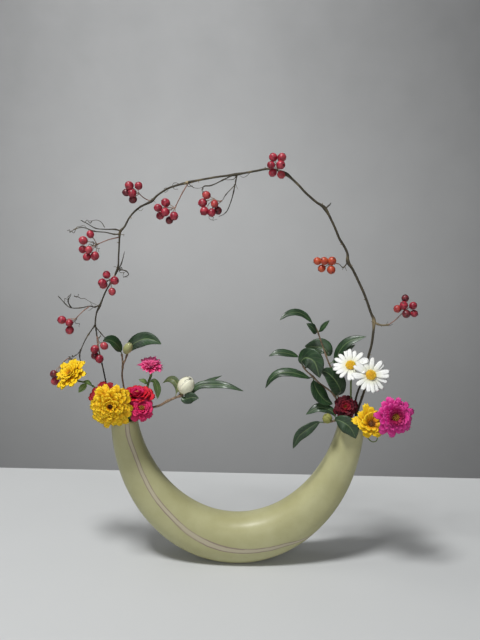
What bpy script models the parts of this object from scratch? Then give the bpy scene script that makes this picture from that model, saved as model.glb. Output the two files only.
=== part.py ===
"""Ikebana arrangement: a crescent vase with two mouths, a berried vine arching between them,
camellia sprigs, zinnias and daisies. Metres, +Z up, +X to the right and +Y to the back; the
origin is the centre of the vase's flat foot. Routes and places below are in millimetres."""
import math

import bmesh
import bpy
from mathutils import Matrix, Vector

MM = 0.001
GAP = 0.3 * MM                      # clearance left between pieces that touch

# vase: an elliptical centre line carries a section that thins towards the mouths
LINE_HALF_SPAN = 131 * MM
LINE_RISE = 162 * MM
LINE_CENTRE_HEIGHT = 188.2 * MM
MOUTH_ANGLE = math.radians(83.3)    # where the centre line stops, measured from straight down
MOUTH_HALF_WIDTH = 15 * MM
MOUTH_HALF_DEPTH = 17 * MM
BOTTOM_EXTRA_WIDTH = 14 * MM
BOTTOM_EXTRA_DEPTH = 10 * MM
SWELL_POWER = 1.1
WALL = 4 * MM
BASE_EXTRA_WALL = 4 * MM            # the wall thickens towards the foot
BASE_WALL_POWER = 3
SECTION_POWER = 2.4                 # superellipse exponent, squarer than an oval
SECTION_SIDES = 22
OUTER_STATIONS = 31
INNER_STATIONS = 31
LIP_STATIONS = 2

# plants
VINE_RADIUS = 1.9 * MM
FORK_RADIUS = 1.1 * MM
VINE_TIP_RADIUS = 0.9 * MM
TWIG_RADIUS = 0.75 * MM
TWIG_TAPER = 0.7
SPRIG_RADIUS = 1.4 * MM
STALK_RADIUS = 1.4 * MM
DAISY_STALK_RADIUS = 1.1 * MM
PEDICEL_RADIUS = 0.4 * MM
BERRY_RADIUS = 4.3 * MM
HUB_RADIUS = 1.1 * MM               # the small knob where a cluster's stalks meet
LEAF_THICKNESS = 0.7 * MM
LEAF_STATIONS = 7
LEAF_FOLD = 0.22                    # how far the blade's edges rise above the midrib, per width
LEAF_STALK_HALF_WIDTH = 0.6 * MM
HEAD_CUP_DEPTH = 0.78               # depth of a zinnia's cup below its rim, per head height
NECK_LENGTH = 7 * MM                # straight stalk below a head
STALK_EMBED = 2 * MM                # a joined stalk reaches this far into its head
DAISY_PETAL_THICKNESS = 1.2 * MM
DAISY_DISC_SHARE = 0.29             # disc radius per daisy radius
DAISY_CUP_DEPTH = 5.2 * MM
ROUTE_STEPS = 2                     # straight pieces between two points of a route
WELL_ANGLES = (66, 74, 83.3)        # stations of the arm that a stem's foot follows, degrees
LIP_CLEARANCE = 4 * MM              # a stem stays straight this far past the mouth

CAMELLIA_GREEN = (0.02, 0.055, 0.028)
UPPER_GREEN = (0.05, 0.12, 0.04)
WOOD_BROWN = (0.10, 0.075, 0.05)


# ---------------------------------------------------------------- materials
def finish(name, colour, roughness=0.5, metallic=0.0):
    material = bpy.data.materials.get(name)
    if material is None:
        material = bpy.data.materials.new(name)
        material.use_nodes = True
        shader = material.node_tree.nodes["Principled BSDF"]
        shader.inputs["Base Color"].default_value = (*colour, 1.0)
        shader.inputs["Roughness"].default_value = roughness
        shader.inputs["Metallic"].default_value = metallic
        material.diffuse_color = (*colour, 1.0)
    return material


def glaze():
    return finish("glaze", (0.42, 0.40, 0.22), 0.3)


def vine_bark():
    return finish("vine_bark", (0.045, 0.04, 0.028), 0.6)


def berry_skin():
    return finish("berry_skin", (0.42, 0.03, 0.045), 0.25)


def sprig_bark():
    return finish("sprig_bark", WOOD_BROWN, 0.6)


def leaf_green():
    return finish("leaf_green", CAMELLIA_GREEN, 0.3)


def stalk_green():
    return finish("stalk_green", UPPER_GREEN, 0.5)


def bud_white():
    return finish("bud_white", (0.80, 0.78, 0.62), 0.5)


def bud_green():
    return finish("bud_green", (0.26, 0.28, 0.09), 0.5)


def petal(name, colour):
    return finish(name, colour, 0.55)


# ---------------------------------------------------------------- scene and mesh helpers
def clear_scene():
    for scene_object in list(bpy.data.objects):
        bpy.data.objects.remove(scene_object, do_unlink=True)


def new_collection(name):
    collection = bpy.data.collections.new(name)
    bpy.context.scene.collection.children.link(collection)
    return collection


def add_object(name, data, material=None, collection=None):
    added = bpy.data.objects.new(name, data)
    (collection or PARTS).objects.link(added)
    if material is not None:
        data.materials.append(material)
    return added


def evaluated_mesh(scene_object):
    depsgraph = bpy.context.evaluated_depsgraph_get()
    return bpy.data.meshes.new_from_object(scene_object.evaluated_get(depsgraph))


def baked(scene_object):
    """The object's evaluated shape as a welded mesh, under the same name and in the same place."""
    mesh = evaluated_mesh(scene_object)
    mesh.transform(scene_object.matrix_world)
    shape = bmesh.new()
    shape.from_mesh(mesh)
    bmesh.ops.remove_doubles(shape, verts=shape.verts, dist=0.00001)
    bmesh.ops.dissolve_degenerate(shape, dist=0.000005, edges=shape.edges)
    bmesh.ops.recalc_face_normals(shape, faces=shape.faces)
    shape.to_mesh(mesh)
    shape.free()
    name = scene_object.name
    bpy.data.objects.remove(scene_object, do_unlink=True)
    solid = add_object(name, mesh)
    solid.name = name
    return solid


def joined(solids):
    """Boolean union of several closed meshes into the first one."""
    base = solids[0]
    for extra in solids[1:]:
        union = base.modifiers.new("join", "BOOLEAN")
        union.operation = "UNION"
        union.solver = "EXACT"
        union.object = extra
        bpy.context.view_layer.update()
        mesh = evaluated_mesh(base)
        base.modifiers.clear()
        base.data = mesh
        bpy.data.objects.remove(extra, do_unlink=True)
    return base


def place(point):
    return Vector(point) * MM


def smooth_route(points, steps=ROUTE_STEPS):
    """Catmull-Rom points through every given point, so each given point stays on the route."""
    ends = [points[0] * 2 - points[1]] + points + [points[-1] * 2 - points[-2]]
    route = []
    for i in range(1, len(ends) - 2):
        a, b, c, d = ends[i - 1:i + 3]
        for k in range(steps):
            t = k / steps
            blend = (b * 2 + (c - a) * t + (a * 2 - b * 5 + c * 4 - d) * t ** 2
                     + (b * 3 - a - c * 3 + d) * t ** 3)
            route.append(blend * 0.5)
    route.append(points[-1])
    return route


def tube(name, points, radius, material, tip_radius=None, sides_level=1, steps=ROUTE_STEPS):
    """A round stem along a smooth route, from its foot to its tip."""
    route = smooth_route(points, steps)
    curve = bpy.data.curves.new(name, "CURVE")
    curve.dimensions = "3D"
    curve.bevel_depth = radius
    curve.bevel_resolution = sides_level
    curve.use_fill_caps = True
    spline = curve.splines.new("POLY")
    spline.points.add(len(route) - 1)
    last = len(route) - 1
    for i, point in enumerate(route):
        spline.points[i].co = (*point, 1.0)
        spline.points[i].radius = 1 + (i / last) * ((tip_radius or radius) / radius - 1)
    return baked(add_object(name, curve, material))


def off_surface(point, towards, radius):
    """The point just outside a stem of that radius, on the side that faces the target."""
    return point + (towards - point).normalized() * (radius + GAP)


# ---------------------------------------------------------------- vase
def arm_frame(angle):
    """Centre and outward normal of the arm at an angle from straight down, negative to the left."""
    centre = Vector((LINE_HALF_SPAN * math.sin(angle), 0,
                     LINE_CENTRE_HEIGHT - LINE_RISE * math.cos(angle)))
    outward = Vector((LINE_RISE * math.sin(angle), 0, -LINE_HALF_SPAN * math.cos(angle)))
    return centre, outward.normalized()


def swell_at(angle):
    """0 at the mouths and 1 above the foot."""
    return max(math.cos(angle * math.pi / 2 / MOUTH_ANGLE), 0) ** SWELL_POWER


def wall_at(angle):
    return WALL + BASE_EXTRA_WALL * swell_at(angle) ** BASE_WALL_POWER


def arm_section(angle, inset, around):
    """A point of the section, inset from the glazed surface. 0 faces outward, 90 degrees front."""
    centre, outward = arm_frame(angle)
    half_width = MOUTH_HALF_WIDTH + BOTTOM_EXTRA_WIDTH * swell_at(angle) - inset
    half_depth = MOUTH_HALF_DEPTH + BOTTOM_EXTRA_DEPTH * swell_at(angle) - inset
    across = math.copysign(abs(math.cos(around)) ** (2 / SECTION_POWER), math.cos(around))
    forward = math.copysign(abs(math.sin(around)) ** (2 / SECTION_POWER), math.sin(around))
    return centre + outward * (half_width * across) + Vector((0, -half_depth * forward, 0))


def along_arm(side):
    """Direction in which the arm leaves the vase at its mouth, -1 left and 1 right."""
    ahead = arm_frame(side * (MOUTH_ANGLE + 0.01))[0] - arm_frame(side * MOUTH_ANGLE)[0]
    return ahead.normalized()


def section_ring(angle, inset, push=None):
    ring = []
    for k in range(SECTION_SIDES):
        point = arm_section(angle, inset, 2 * math.pi * k / SECTION_SIDES)
        ring.append(point + push if push else point)
    return ring


def lip_rings(side):
    """The rounded lip, from the glazed surface over to the inner wall."""
    rings = []
    for k in range(1, LIP_STATIONS + 1):
        turn = math.pi * k / (LIP_STATIONS + 1)
        inset = WALL / 2 * (1 - math.cos(turn))
        rings.append(section_ring(side * MOUTH_ANGLE, inset,
                                  along_arm(side) * (WALL / 2 * math.sin(turn))))
    return rings


def shell_rings(stations, inset_at):
    angles = [MOUTH_ANGLE * (2 * k / (stations - 1) - 1) for k in range(stations)]
    return [section_ring(angle, inset_at(angle)) for angle in angles]


def vase():
    rings = (shell_rings(OUTER_STATIONS, lambda angle: 0) + lip_rings(1)
             + shell_rings(INNER_STATIONS, wall_at)[::-1] + lip_rings(-1)[::-1])
    shape = bmesh.new()
    corners = [[shape.verts.new(point) for point in ring] for ring in rings]
    for i, ring in enumerate(corners):
        following = corners[(i + 1) % len(corners)]
        for k in range(SECTION_SIDES):
            n = (k + 1) % SECTION_SIDES
            shape.faces.new((ring[k], ring[n], following[n], following[k]))
    bmesh.ops.recalc_face_normals(shape, faces=shape.faces)
    mesh = bpy.data.meshes.new("vase")
    shape.to_mesh(mesh)
    shape.free()
    body = add_object("vase", mesh, glaze())
    bpy.ops.mesh.primitive_cube_add(size=1, location=(0, 0, -5 * MM))
    foot_plane = bpy.context.object
    foot_plane.name = "foot_plane"
    foot_plane.scale = (200 * MM, 100 * MM, 10 * MM)
    foot_plane.display_type = "WIRE"
    foot_plane.hide_render = True
    foot_plane.users_collection[0].objects.unlink(foot_plane)
    CUTTERS.objects.link(foot_plane)
    cut = body.modifiers.new("flat_foot", "BOOLEAN")
    cut.operation = "DIFFERENCE"
    cut.solver = "EXACT"
    cut.object = foot_plane
    return body


def well(side, around, radius):
    """A stem's foot inside an arm: along the inner wall, from deep up to just past the mouth."""
    seats = []
    for k, station in enumerate(WELL_ANGLES):
        angle = side * math.radians(station)
        clearance = GAP if k == 0 else 2 * GAP
        seats.append(arm_section(angle, wall_at(angle) + radius + clearance,
                                 math.radians(around)))
    return seats + [seats[-1] + along_arm(side) * LIP_CLEARANCE]


def planted(side, around, radius, points):
    """A route that starts in a mouth, along the wall, and then follows the points."""
    return well(side, around, radius) + [place(p) for p in points]


# ---------------------------------------------------------------- vine and berries
VINE_ARCH = [(138, 4, 189), (141, 4, 200), (144, 4, 213), (145, 4, 232), (146, 4, 250),
             (149, 4, 266), (150, 4, 291), (146, 3, 301), (138, 2, 321), (131, 1, 335),
             (123, 0, 350), (117, 0, 359), (116, 0, 368), (112, 0, 376), (106, -1, 385),
             (100, -2, 398), (89, -4, 417), (79, -6, 424), (67, -8, 434), (58, -8, 443),
             (46, -8, 453), (36, -6, 457), (26, -4, 458), (12, 0, 455), (-8, 1, 451),
             (-32, 4, 447), (-59, 6, 441), (-79, 6, 435), (-92, 4, 427), (-99, 3, 420),
             (-112, 1, 413), (-122, 0, 403), (-128, 0, 392), (-133, 0, 386), (-134, 1, 374),
             (-135, 2, 361), (-137, 3, 343), (-150, 5, 319), (-157, 5, 302), (-161, 5, 293),
             (-163, 5, 277)]
VINE_INTO_LEFT_MOUTH = [(-162.5, 5, 282), (-161, 6, 267), (-160, 6, 257), (-158, 6, 245), (-155, 6, 231),
                        (-152, 6, 215), (-147, 5, 193)]
VINE_TWIGS = {                      # each starts inside the main stem
    "left_fork": [(-162.6, 5, 280), (-170, 4, 269), (-174, 3, 262), (-179, 2, 251),
                  (-184, 2, 245), (-191, 3, 242)],
    "side_strand": [(-178.7, 2, 251.5), (-180, 1, 245), (-179, 1, 239), (-175, 2, 237)],
    "right_fork": [(-162.8, 5, 278.5), (-156, 3, 271), (-152, 2, 267), (-147, 2, 264)],
    "upper_twig": [(-132.4, 0, 387.5), (-138, -1, 389), (-148, -2, 389), (-159, -3, 390),
                   (-168, -3, 395), (-174, -4, 398)],
    "lower_twig": [(-133.2, 0, 384.2), (-139, -3, 384), (-148, -4, 386), (-160, -5, 387),
                   (-172, -6, 391), (-181, -6, 389), (-185, -6, 386)],
    "node_loop": [(-136.6, 3, 344.5), (-127, 1, 343), (-124, -1, 339), (-130, -2, 336)],
    "node_stub": [(-137.4, 3, 341.4), (-132, 1, 351), (-128, -1, 365)],
    "long_twig": [(-156.8, 5, 303), (-162, 3, 301), (-168, 2, 302), (-179, 1, 300),
                  (-189, 1, 300), (-195, 2, 304), (-203, 3, 313)],
    "long_twig_fork": [(-188.4, 1, 300), (-191, -2, 308), (-187, -4, 316)],
    "top_twig": [(-6.5, 1, 451.2), (-8, -1, 444), (-9, -3, 440), (-18, -5, 430), (-22, -5, 423)],
    "top_twig_right": [(-8.7, -2.5, 441), (-10, -2, 433), (-13, -1, 421), (-18, 0, 410),
                       (-26, 1, 405)],
    "top_twig_left": [(-10, 1.2, 450.8), (-22, -3, 445), (-34, -5, 439), (-42, -6, 438),
                      (-44, -6, 433)],
    "short_twig": [(117, 0, 359), (112, -2, 353), (107, -3, 357)],
    "right_twig": [(150, 4, 291), (154, 2, 289), (159, 1, 288), (166, 0, 289)],
    "crossing_twig": [(89, -4, 417), (93, -6, 421), (95, -6, 424)],
}


def vine():
    main = tube("vine", planted(1, 300, VINE_RADIUS, VINE_ARCH), VINE_RADIUS, vine_bark(),
                tip_radius=FORK_RADIUS, steps=1)
    foot = [place(p) for p in VINE_INTO_LEFT_MOUTH] + well(-1, 330, VINE_TIP_RADIUS)[::-1]
    solids = [main, tube("left_foot", foot, VINE_TIP_RADIUS, vine_bark(), steps=1)]
    for name, points in VINE_TWIGS.items():
        solids.append(tube(name, [place(p) for p in points], TWIG_RADIUS, vine_bark(),
                           tip_radius=TWIG_RADIUS * TWIG_TAPER, steps=1))
    return joined(solids)


# each cluster: the point of the vine that carries it, the umbel's centre and its berries
CLUSTERS = {
    "berries_top": ((36, -6, 457), (35, -14, 463),
                    [(31, -16, 471), (40, -16, 471), (29, -18, 463), (39, -20, 463.5),
                     (31, -15, 455), (40, -14, 453)]),
    "berries_right": ((166, 0, 289), (183, 0, 306),
                      [(182, -2, 320), (180, -7, 313), (174, -3, 308), (191, -3, 312),
                       (183, -9, 304), (193, -2, 303)]),
    "berries_middle_right": ((107, -3, 357), (96, -4, 356),
                             [(83, -6, 360), (90, -10, 361), (98.5, -9, 361), (88, -6, 352),
                              (98, -10, 351.5)]),
    "berries_left_1": ((-99, 3, 420), (-112, 0, 428),
                       [(-122, -4, 437), (-126, 1, 429), (-119, -5, 429), (-119, 3, 421.5),
                        (-112, -4, 437)]),
    "berries_left_2": ((-59, 6, 441), (-73, -2, 414),
                       [(-83, -3, 419.5), (-91, -5, 414), (-89, 0, 405), (-83, -9, 410),
                        (-79, -2, 400.5), (-73.5, -9, 406)]),
    "berries_left_3": ((-22, -5, 423), (-31, -6, 425),
                       [(-39, -7, 429), (-43, -5, 420.5), (-30, -10, 420), (-41, -8, 412),
                        (-33, -12, 411), (-26.5, -5, 412.5)]),
    "berries_left_4": ((-133.4, 0.4, 380.5), (-157, -7, 373),
                       [(-164, -8, 384), (-172, -7, 377), (-173, -5, 367), (-168, -9, 359.5),
                        (-159, -11, 361), (-165, -14, 368)]),
    "berries_left_5": ((-139.6, 3.4, 338.2), (-145, -3, 333),
                       [(-147, -8, 340), (-151, -5, 328), (-138, -10, 334), (-141, -9, 321.5),
                        (-151, -13, 332)]),
    "berries_left_6": ((-168, 2, 302), (-183, -1, 288),
                       [(-198, -4, 287), (-189.5, -5, 284), (-190, -2, 275)]),
    "berries_left_7": ((-161, 6, 267), (-158.6, 0.4, 261),
                       [(-162, -4, 254), (-152, 0, 257), (-163, 2, 245), (-157, -4, 243)]),
    "berries_left_8": ((-191, 3, 242), (-204, 9, 230),
                       [(-211, 9, 222), (-212, 12, 213), (-205, 15, 218)]),
}
CLUSTER_SEATS = {                   # radius of the vine where the cluster's stalk leaves it
    "berries_top": 1.55 * MM, "berries_right": 0.1 * MM, "berries_middle_right": 0.1 * MM,
    "berries_left_1": 1.4 * MM, "berries_left_2": 1.9 * MM, "berries_left_3": 0.75 * MM,
    "berries_left_4": 1.3 * MM, "berries_left_5": 1.4 * MM, "berries_left_6": 1.7 * MM,
    "berries_left_7": 1.5 * MM, "berries_left_8": 0.1 * MM,
}


def berry(name, centre, radius=BERRY_RADIUS, segments=7, rings=4):
    bpy.ops.mesh.primitive_uv_sphere_add(segments=segments, ring_count=rings, radius=radius,
                                         location=centre)
    ball = bpy.context.object
    ball.name = name
    ball.users_collection[0].objects.unlink(ball)
    PARTS.objects.link(ball)
    ball.data.materials.append(berry_skin())
    return baked(ball)


def cluster(name, anchor, hub, centres):
    """Berries on thin stalks that meet in one point, carried by the vine at the anchor."""
    anchor, hub = place(anchor), place(hub)
    stalk_foot = off_surface(anchor, hub, CLUSTER_SEATS[name] + GAP)
    solids = [tube(name, [stalk_foot, hub], PEDICEL_RADIUS * 1.4, berry_skin(),
                   sides_level=0, steps=1),
              berry(f"{name}_hub", hub, HUB_RADIUS, 5, 3)]
    for i, centre in enumerate(centres):
        reach = place(centre)
        solids.append(tube(f"{name}_stalk_{i}", [hub, reach], PEDICEL_RADIUS,
                           berry_skin(), sides_level=0, steps=1))
        solids.append(berry(f"{name}_berry_{i}", reach))
    return joined(solids)



# ---------------------------------------------------------------- leaves
def leaf(name, points, width, facing, material=None):
    """A pointed blade along its midrib, folded a little; facing is the upper side's direction."""
    route = smooth_route([place(p) if not isinstance(p, Vector) else p for p in points], 4)
    shape = bmesh.new()
    bmesh.ops.create_grid(shape, x_segments=2, y_segments=LEAF_STATIONS, size=1)
    facing = Vector(facing).normalized()
    for corner in shape.verts:
        across, along = corner.co.x, (corner.co.y + 1) / 2
        spot = along * (len(route) - 1)
        i = min(int(spot), len(route) - 2)
        centre = route[i].lerp(route[i + 1], spot - i)
        tangent = (route[i + 1] - route[i]).normalized()
        sideways = tangent.cross(facing).normalized()
        upward = sideways.cross(tangent)
        half = (LEAF_STALK_HALF_WIDTH + (width * MM / 2 - LEAF_STALK_HALF_WIDTH)
                * math.sin(math.pi * min(along * 1.03, 1) ** 1.05) ** 1.1)
        corner.co = centre + sideways * (across * half) + upward * (abs(across) * half * LEAF_FOLD)
    mesh = bpy.data.meshes.new(name)
    shape.to_mesh(mesh)
    shape.free()
    blade = add_object(name, mesh, material or leaf_green())
    thick = blade.modifiers.new("thickness", "SOLIDIFY")
    thick.thickness = LEAF_THICKNESS
    thick.offset = 0
    return baked(blade)


def carried_leaf(name, seat, stem_radius, points, width, facing):
    """A leaf whose stalk starts just off the stem that carries it."""
    start = off_surface(place(seat), place(points[0]), stem_radius + LEAF_THICKNESS / 2)
    return leaf(name, [start] + [place(p) for p in points], width, facing)


# ---------------------------------------------------------------- flower heads and buds
def turned(name, profile, steps, lobes, lobe_depth, centre, facing, material):
    """A solid of revolution with a scalloped rim, its axis turned to the facing direction."""
    mesh = bpy.data.meshes.new(name)
    shape = bmesh.new()
    corners = [shape.verts.new((radius, 0, height)) for radius, height in profile]
    for a, b in zip(corners, corners[1:]):
        shape.edges.new((a, b))
    shape.to_mesh(mesh)
    shape.free()
    body = add_object(name, mesh, material)
    screw = body.modifiers.new("turn", "SCREW")
    screw.axis = "Z"
    screw.steps = steps
    screw.render_steps = steps
    screw.use_merge_vertices = True
    screw.merge_threshold = 0.00001
    body = baked(body)
    rim = max(radius for radius, _ in profile)
    for corner in body.data.vertices:
        reach = math.hypot(corner.co.x, corner.co.y)
        swing = math.cos(lobes * math.atan2(corner.co.y, corner.co.x))
        scale = 1 - lobe_depth * (reach / rim) ** 3 * (1 - swing) / 2
        corner.co.x *= scale
        corner.co.y *= scale
    body.rotation_mode = "QUATERNION"
    body.rotation_quaternion = Vector(facing).to_track_quat("Z", "Y")
    body.location = place(centre)
    return body


def double_zinnia(name, centre, facing, radius, height, material, lobes=12):
    """A domed head of many petals over a small green cup."""
    profile = [(0, height), (radius * 0.35, height * 0.92), (radius * 0.7, height * 0.62),
               (radius * 0.92, height * 0.28), (radius, 0), (radius * 0.9, -height * 0.12),
               (radius * 0.3, -height * 0.3), (radius * 0.22, -height * 0.7),
               (0, -height * HEAD_CUP_DEPTH)]
    profile = [(r * MM, h * MM) for r, h in profile]
    return turned(name, profile, 2 * lobes, lobes, 0.12, centre, facing, material)


def neck(centre, facing, height, clearance):
    """Where the stalk ends below a double zinnia's cup, and a point further down the stalk."""
    axis = Vector(facing).normalized()
    end = place(centre) - axis * (height * HEAD_CUP_DEPTH * MM + clearance)
    return [end - axis * NECK_LENGTH, end]


def zinnia(name, centre, facing, radius, height, material, side, around, via, lobes=12):
    """A head and its stalk as two pieces."""
    double_zinnia(f"{name}_head", centre, facing, radius, height, material, lobes)
    route = planted(side, around, STALK_RADIUS, via) + neck(centre, facing, height, GAP)
    return tube(f"{name}_stalk", route, STALK_RADIUS, stalk_green())


def whole_zinnia(name, centre, facing, radius, height, material, side, around, via):
    """A small head in one piece with its stalk."""
    head = double_zinnia(name, centre, facing, radius, height, material, lobes=9)
    route = planted(side, around, STALK_RADIUS, via) + neck(centre, facing, height, -STALK_EMBED)
    return joined([baked(head), tube("stalk", route, STALK_RADIUS, stalk_green())])


def daisy(name, centre, facing, radius, petals, side, around, via):
    """A flat star of petals with a domed disc, and its thin stalk."""
    outline = bpy.data.curves.new(name, "CURVE")
    outline.dimensions = "2D"
    outline.fill_mode = "BOTH"
    outline.extrude = DAISY_PETAL_THICKNESS / 2
    spline = outline.splines.new("POLY")
    spline.points.add(4 * petals - 1)
    spline.use_cyclic_u = True
    for k in range(4 * petals):
        turn = 2 * math.pi * (k + 0.5) / (4 * petals)
        reach = radius * MM if k % 4 in (1, 2) else radius * MM * 0.45
        spline.points[k].co = (reach * math.cos(turn), reach * math.sin(turn), 0, 1)
    star = baked(add_object(f"{name}_star", outline, petal("daisy_white", (0.86, 0.86, 0.84))))
    disc = radius * DAISY_DISC_SHARE * MM
    profile = [(0, 4.2 * MM), (disc * 0.7, 3.2 * MM), (disc, 1.2 * MM), (disc, -0.5 * MM),
               (disc * 1.1, -3 * MM), (disc * 0.5, -5 * MM), (0, -DAISY_CUP_DEPTH)]
    dome = turned(f"{name}_disc", profile, 9, 1, 0,
                  (0, 0, 0), (0, 0, 1), petal("daisy_disc", (0.75, 0.42, 0.01)))
    head = joined([star, dome])
    head.name = f"{name}_head"
    head.rotation_mode = "QUATERNION"
    head.rotation_quaternion = Vector(facing).to_track_quat("Z", "Y")
    head.location = place(centre)
    axis = Vector(facing).normalized()
    end = place(centre) - axis * (DAISY_CUP_DEPTH + 2 * GAP)
    route = planted(side, around, DAISY_STALK_RADIUS, via) + [end - axis * NECK_LENGTH, end]
    return tube(f"{name}_stalk", route, DAISY_STALK_RADIUS, stalk_green())


def bud(name, centre, facing, radius, half_length, material):
    profile = [(0, half_length), (radius * 0.6, half_length * 0.82),
               (radius * 0.95, half_length * 0.3), (radius, -half_length * 0.1),
               (radius * 0.8, -half_length * 0.65), (radius * 0.35, -half_length * 0.95),
               (0, -half_length)]
    return turned(name, [(r * MM, h * MM) for r, h in profile], 12, 1, 0, centre, facing,
                  material)


# ---------------------------------------------------------------- the left mouth
def left_zinnias():
    zinnia("yellow_zinnia", (-139, -37, 198), (-0.05, -0.97, 0.22), 25.5, 11,
           petal("petal_yellow", (0.75, 0.43, 0.012)), -1, 62,
           [(-137, -15, 183), (-139, -20, 190)], lobes=14)
    whole_zinnia("dark_red_zinnia", (-151, -10, 201), (-0.25, -0.75, 0.6), 17, 7,
           petal("petal_dark_red", (0.28, 0.006, 0.02)), -1, 22, [(-144, -5, 184)])
    zinnia("crimson_zinnia", (-112, -7, 204), (0.05, -0.35, 0.93), 16, 9,
           petal("petal_crimson", (0.50, 0.006, 0.03)), -1, 150, [(-117, -6, 182)])
    whole_zinnia("cerise_zinnia", (-104, -22, 186), (0.6, -0.75, -0.05), 12, 8,
           petal("petal_cerise", (0.52, 0.012, 0.09)), -1, 115, [(-120, -13, 180)])
    stalk = zinnia("pink_zinnia", (-101, 13, 230.5), (0.02, -0.25, 0.97), 15, 8,
                   petal("petal_pink", (0.60, 0.02, 0.16)), -1, 222,
                   [(-108, 12, 192), (-104, 13, 210)])
    near = leaf("near_blade", [(-104.2, 13, 208.5), (-109, 12, 213), (-115, 12, 214.5)], 7,
                (0, -0.5, 0.9), stalk_green())
    far = leaf("far_blade", [(-103.9, 13.1, 211), (-97, 13, 213), (-93, 12, 203), (-93, 11, 192)],
               9, (0.3, -0.9, 0.3), stalk_green())
    joined([stalk, near, far])
    stalk = zinnia("small_yellow_zinnia", (-187, -10, 225), (-0.3, -0.6, 0.74), 18.5, 9,
                   petal("petal_lemon", (0.72, 0.48, 0.012)), -1, 352,
                   [(-150, 0, 190), (-162, 1, 206), (-172, 2, 212)])
    near = leaf("near_blade", [(-172, 2, 212), (-176, -2, 209), (-181, -5, 203)], 8,
                (0, -0.9, 0.4), stalk_green())
    far = leaf("far_blade", [(-166, 2, 209), (-169, -3, 214), (-175, -7, 217)], 8,
               (0, -0.6, 0.8), stalk_green())
    joined([stalk, near, far])


def upright_sprig():
    route = planted(-1, 270, SPRIG_RADIUS, [(-131, 8, 192), (-131, 7, 204), (-133, 6, 220),
                                             (-132, 6, 234), (-133, 6, 246)])
    stem = tube("upright_sprig_stem", route, SPRIG_RADIUS, sprig_bark(), tip_radius=1.1 * MM)
    fork = tube("fork", [place((-132.2, 6, 233)), place((-129, 6, 240)), place((-127, 5, 246))],
                1 * MM, sprig_bark())
    joined([stem, fork])
    bud("upright_sprig_bud", (-124.2, 2.2, 253.5), (0.35, -0.35, 0.87), 4, 7.8, bud_green())
    carried_leaf("upright_sprig_leaf_left", (-133, 6, 246), 0,
                 [(-137, 1, 254), (-142, -6, 262), (-149, -16, 263)], 13, (0.2, -0.6, 0.75))
    carried_leaf("upright_sprig_leaf_right", (-129, 6, 240), 1.7 * MM,
                 [(-125, 11, 248), (-118, 13, 257), (-108, 12, 261), (-98, 9, 262), (-88, 6, 259)], 15,
                 (-0.1, -0.55, 0.8))


def bud_branch():
    route = planted(-1, 182, SPRIG_RADIUS, [(-113, 2, 179), (-104, 2, 183), (-96, 0, 186),
                                             (-88, -4, 190), (-80, -7, 196), (-70, -8, 201)])
    tube("bud_branch_stem", route + [place((-64, -8, 203.5))], SPRIG_RADIUS, sprig_bark())
    bud("white_bud", (-59.5, -8.6, 215.2), (0.35, -0.15, 0.92), 9.3, 11.3, bud_white())
    carried_leaf("bud_branch_leaf_olive", (-80, -7, 196), 1.9 * MM,
                 [(-77, -3, 205), (-76, 1, 213), (-81, 6, 217), (-88, 10, 213)], 10,
                 (-0.5, -0.5, 0.7))
    carried_leaf("bud_branch_leaf_under", (-64, -8, 203.5), SPRIG_RADIUS,
                 [(-59, -13, 198.5), (-52, -17, 201), (-44, -18, 204)], 11, (0, -0.8, 0.6))
    carried_leaf("bud_branch_leaf_long", (-64, -8, 203.5), SPRIG_RADIUS,
                 [(-57, 0, 201), (-46, 4, 211), (-31, 2, 214), (-14, -4, 215), (6, -8, 210)],
                 11, (0, -0.75, 0.65))
    carried_leaf("bud_branch_leaf_back", (-70, -8, 201), SPRIG_RADIUS,
                 [(-64, 4, 202), (-50, 11, 207), (-35, 13, 214), (-19, 11, 222)], 9,
                 (0, -0.5, 0.85))


# ---------------------------------------------------------------- the right mouth
GOLD_STALK_CURL = [(142, -24.6, 177.5), (149, -26, 172), (156, -29, 169), (157, -30, 163),
                   (151, -29, 160)]


def tall_sprig():
    route = planted(1, 240, SPRIG_RADIUS, [(118, 12, 190), (112, 12, 210), (105, 9, 234),
                                            (101, 8, 243), (96, 8, 256), (92, 8, 266),
                                            (88, 8, 277), (84, 8, 284)])
    stem = tube("tall_sprig_stem", route, SPRIG_RADIUS, sprig_bark(), tip_radius=0.9 * MM)
    carried_leaf("tall_sprig_leaf_arched", (84, 8, 284), 0,
                 [(78, 7, 291), (71, 6, 297), (62, 4, 300), (52, 1, 298), (44, -3, 292)], 10,
                 (0.1, -0.7, 0.7))
    left = leaf("tip_left", [(88, 8, 277), (82, 2, 280), (79, -2, 286), (76, -3, 291)], 8,
                (0.6, -0.7, 0.3))
    right = leaf("tip_right", [(88, 8, 277), (91, 5, 280), (94, 3, 286), (98, 2, 292)], 6,
                 (-0.6, -0.6, 0.4))
    joined([stem, left, right])
    carried_leaf("tall_sprig_leaf_broad", (98.5, 8, 249.5), 1.2 * MM,
                 [(101, 14, 250), (97, 19, 254), (88, 20, 258), (75, 19, 259)], 21,
                 (0.1, -0.9, 0.35))
    carried_leaf("tall_sprig_leaf_right", (105, 9, 234), 1.5 * MM,
                 [(109, 5, 242), (113, 3, 256), (123, 2, 268), (142, 0, 275)], 14,
                 (-0.6, -0.6, 0.4))
    carried_leaf("tall_sprig_leaf_behind", (101, 8, 243), 1.3 * MM,
                 [(107, 13.5, 245), (117, 15.5, 255), (131, 16.5, 264)], 11, (-0.5, -0.6, 0.5))


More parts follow.
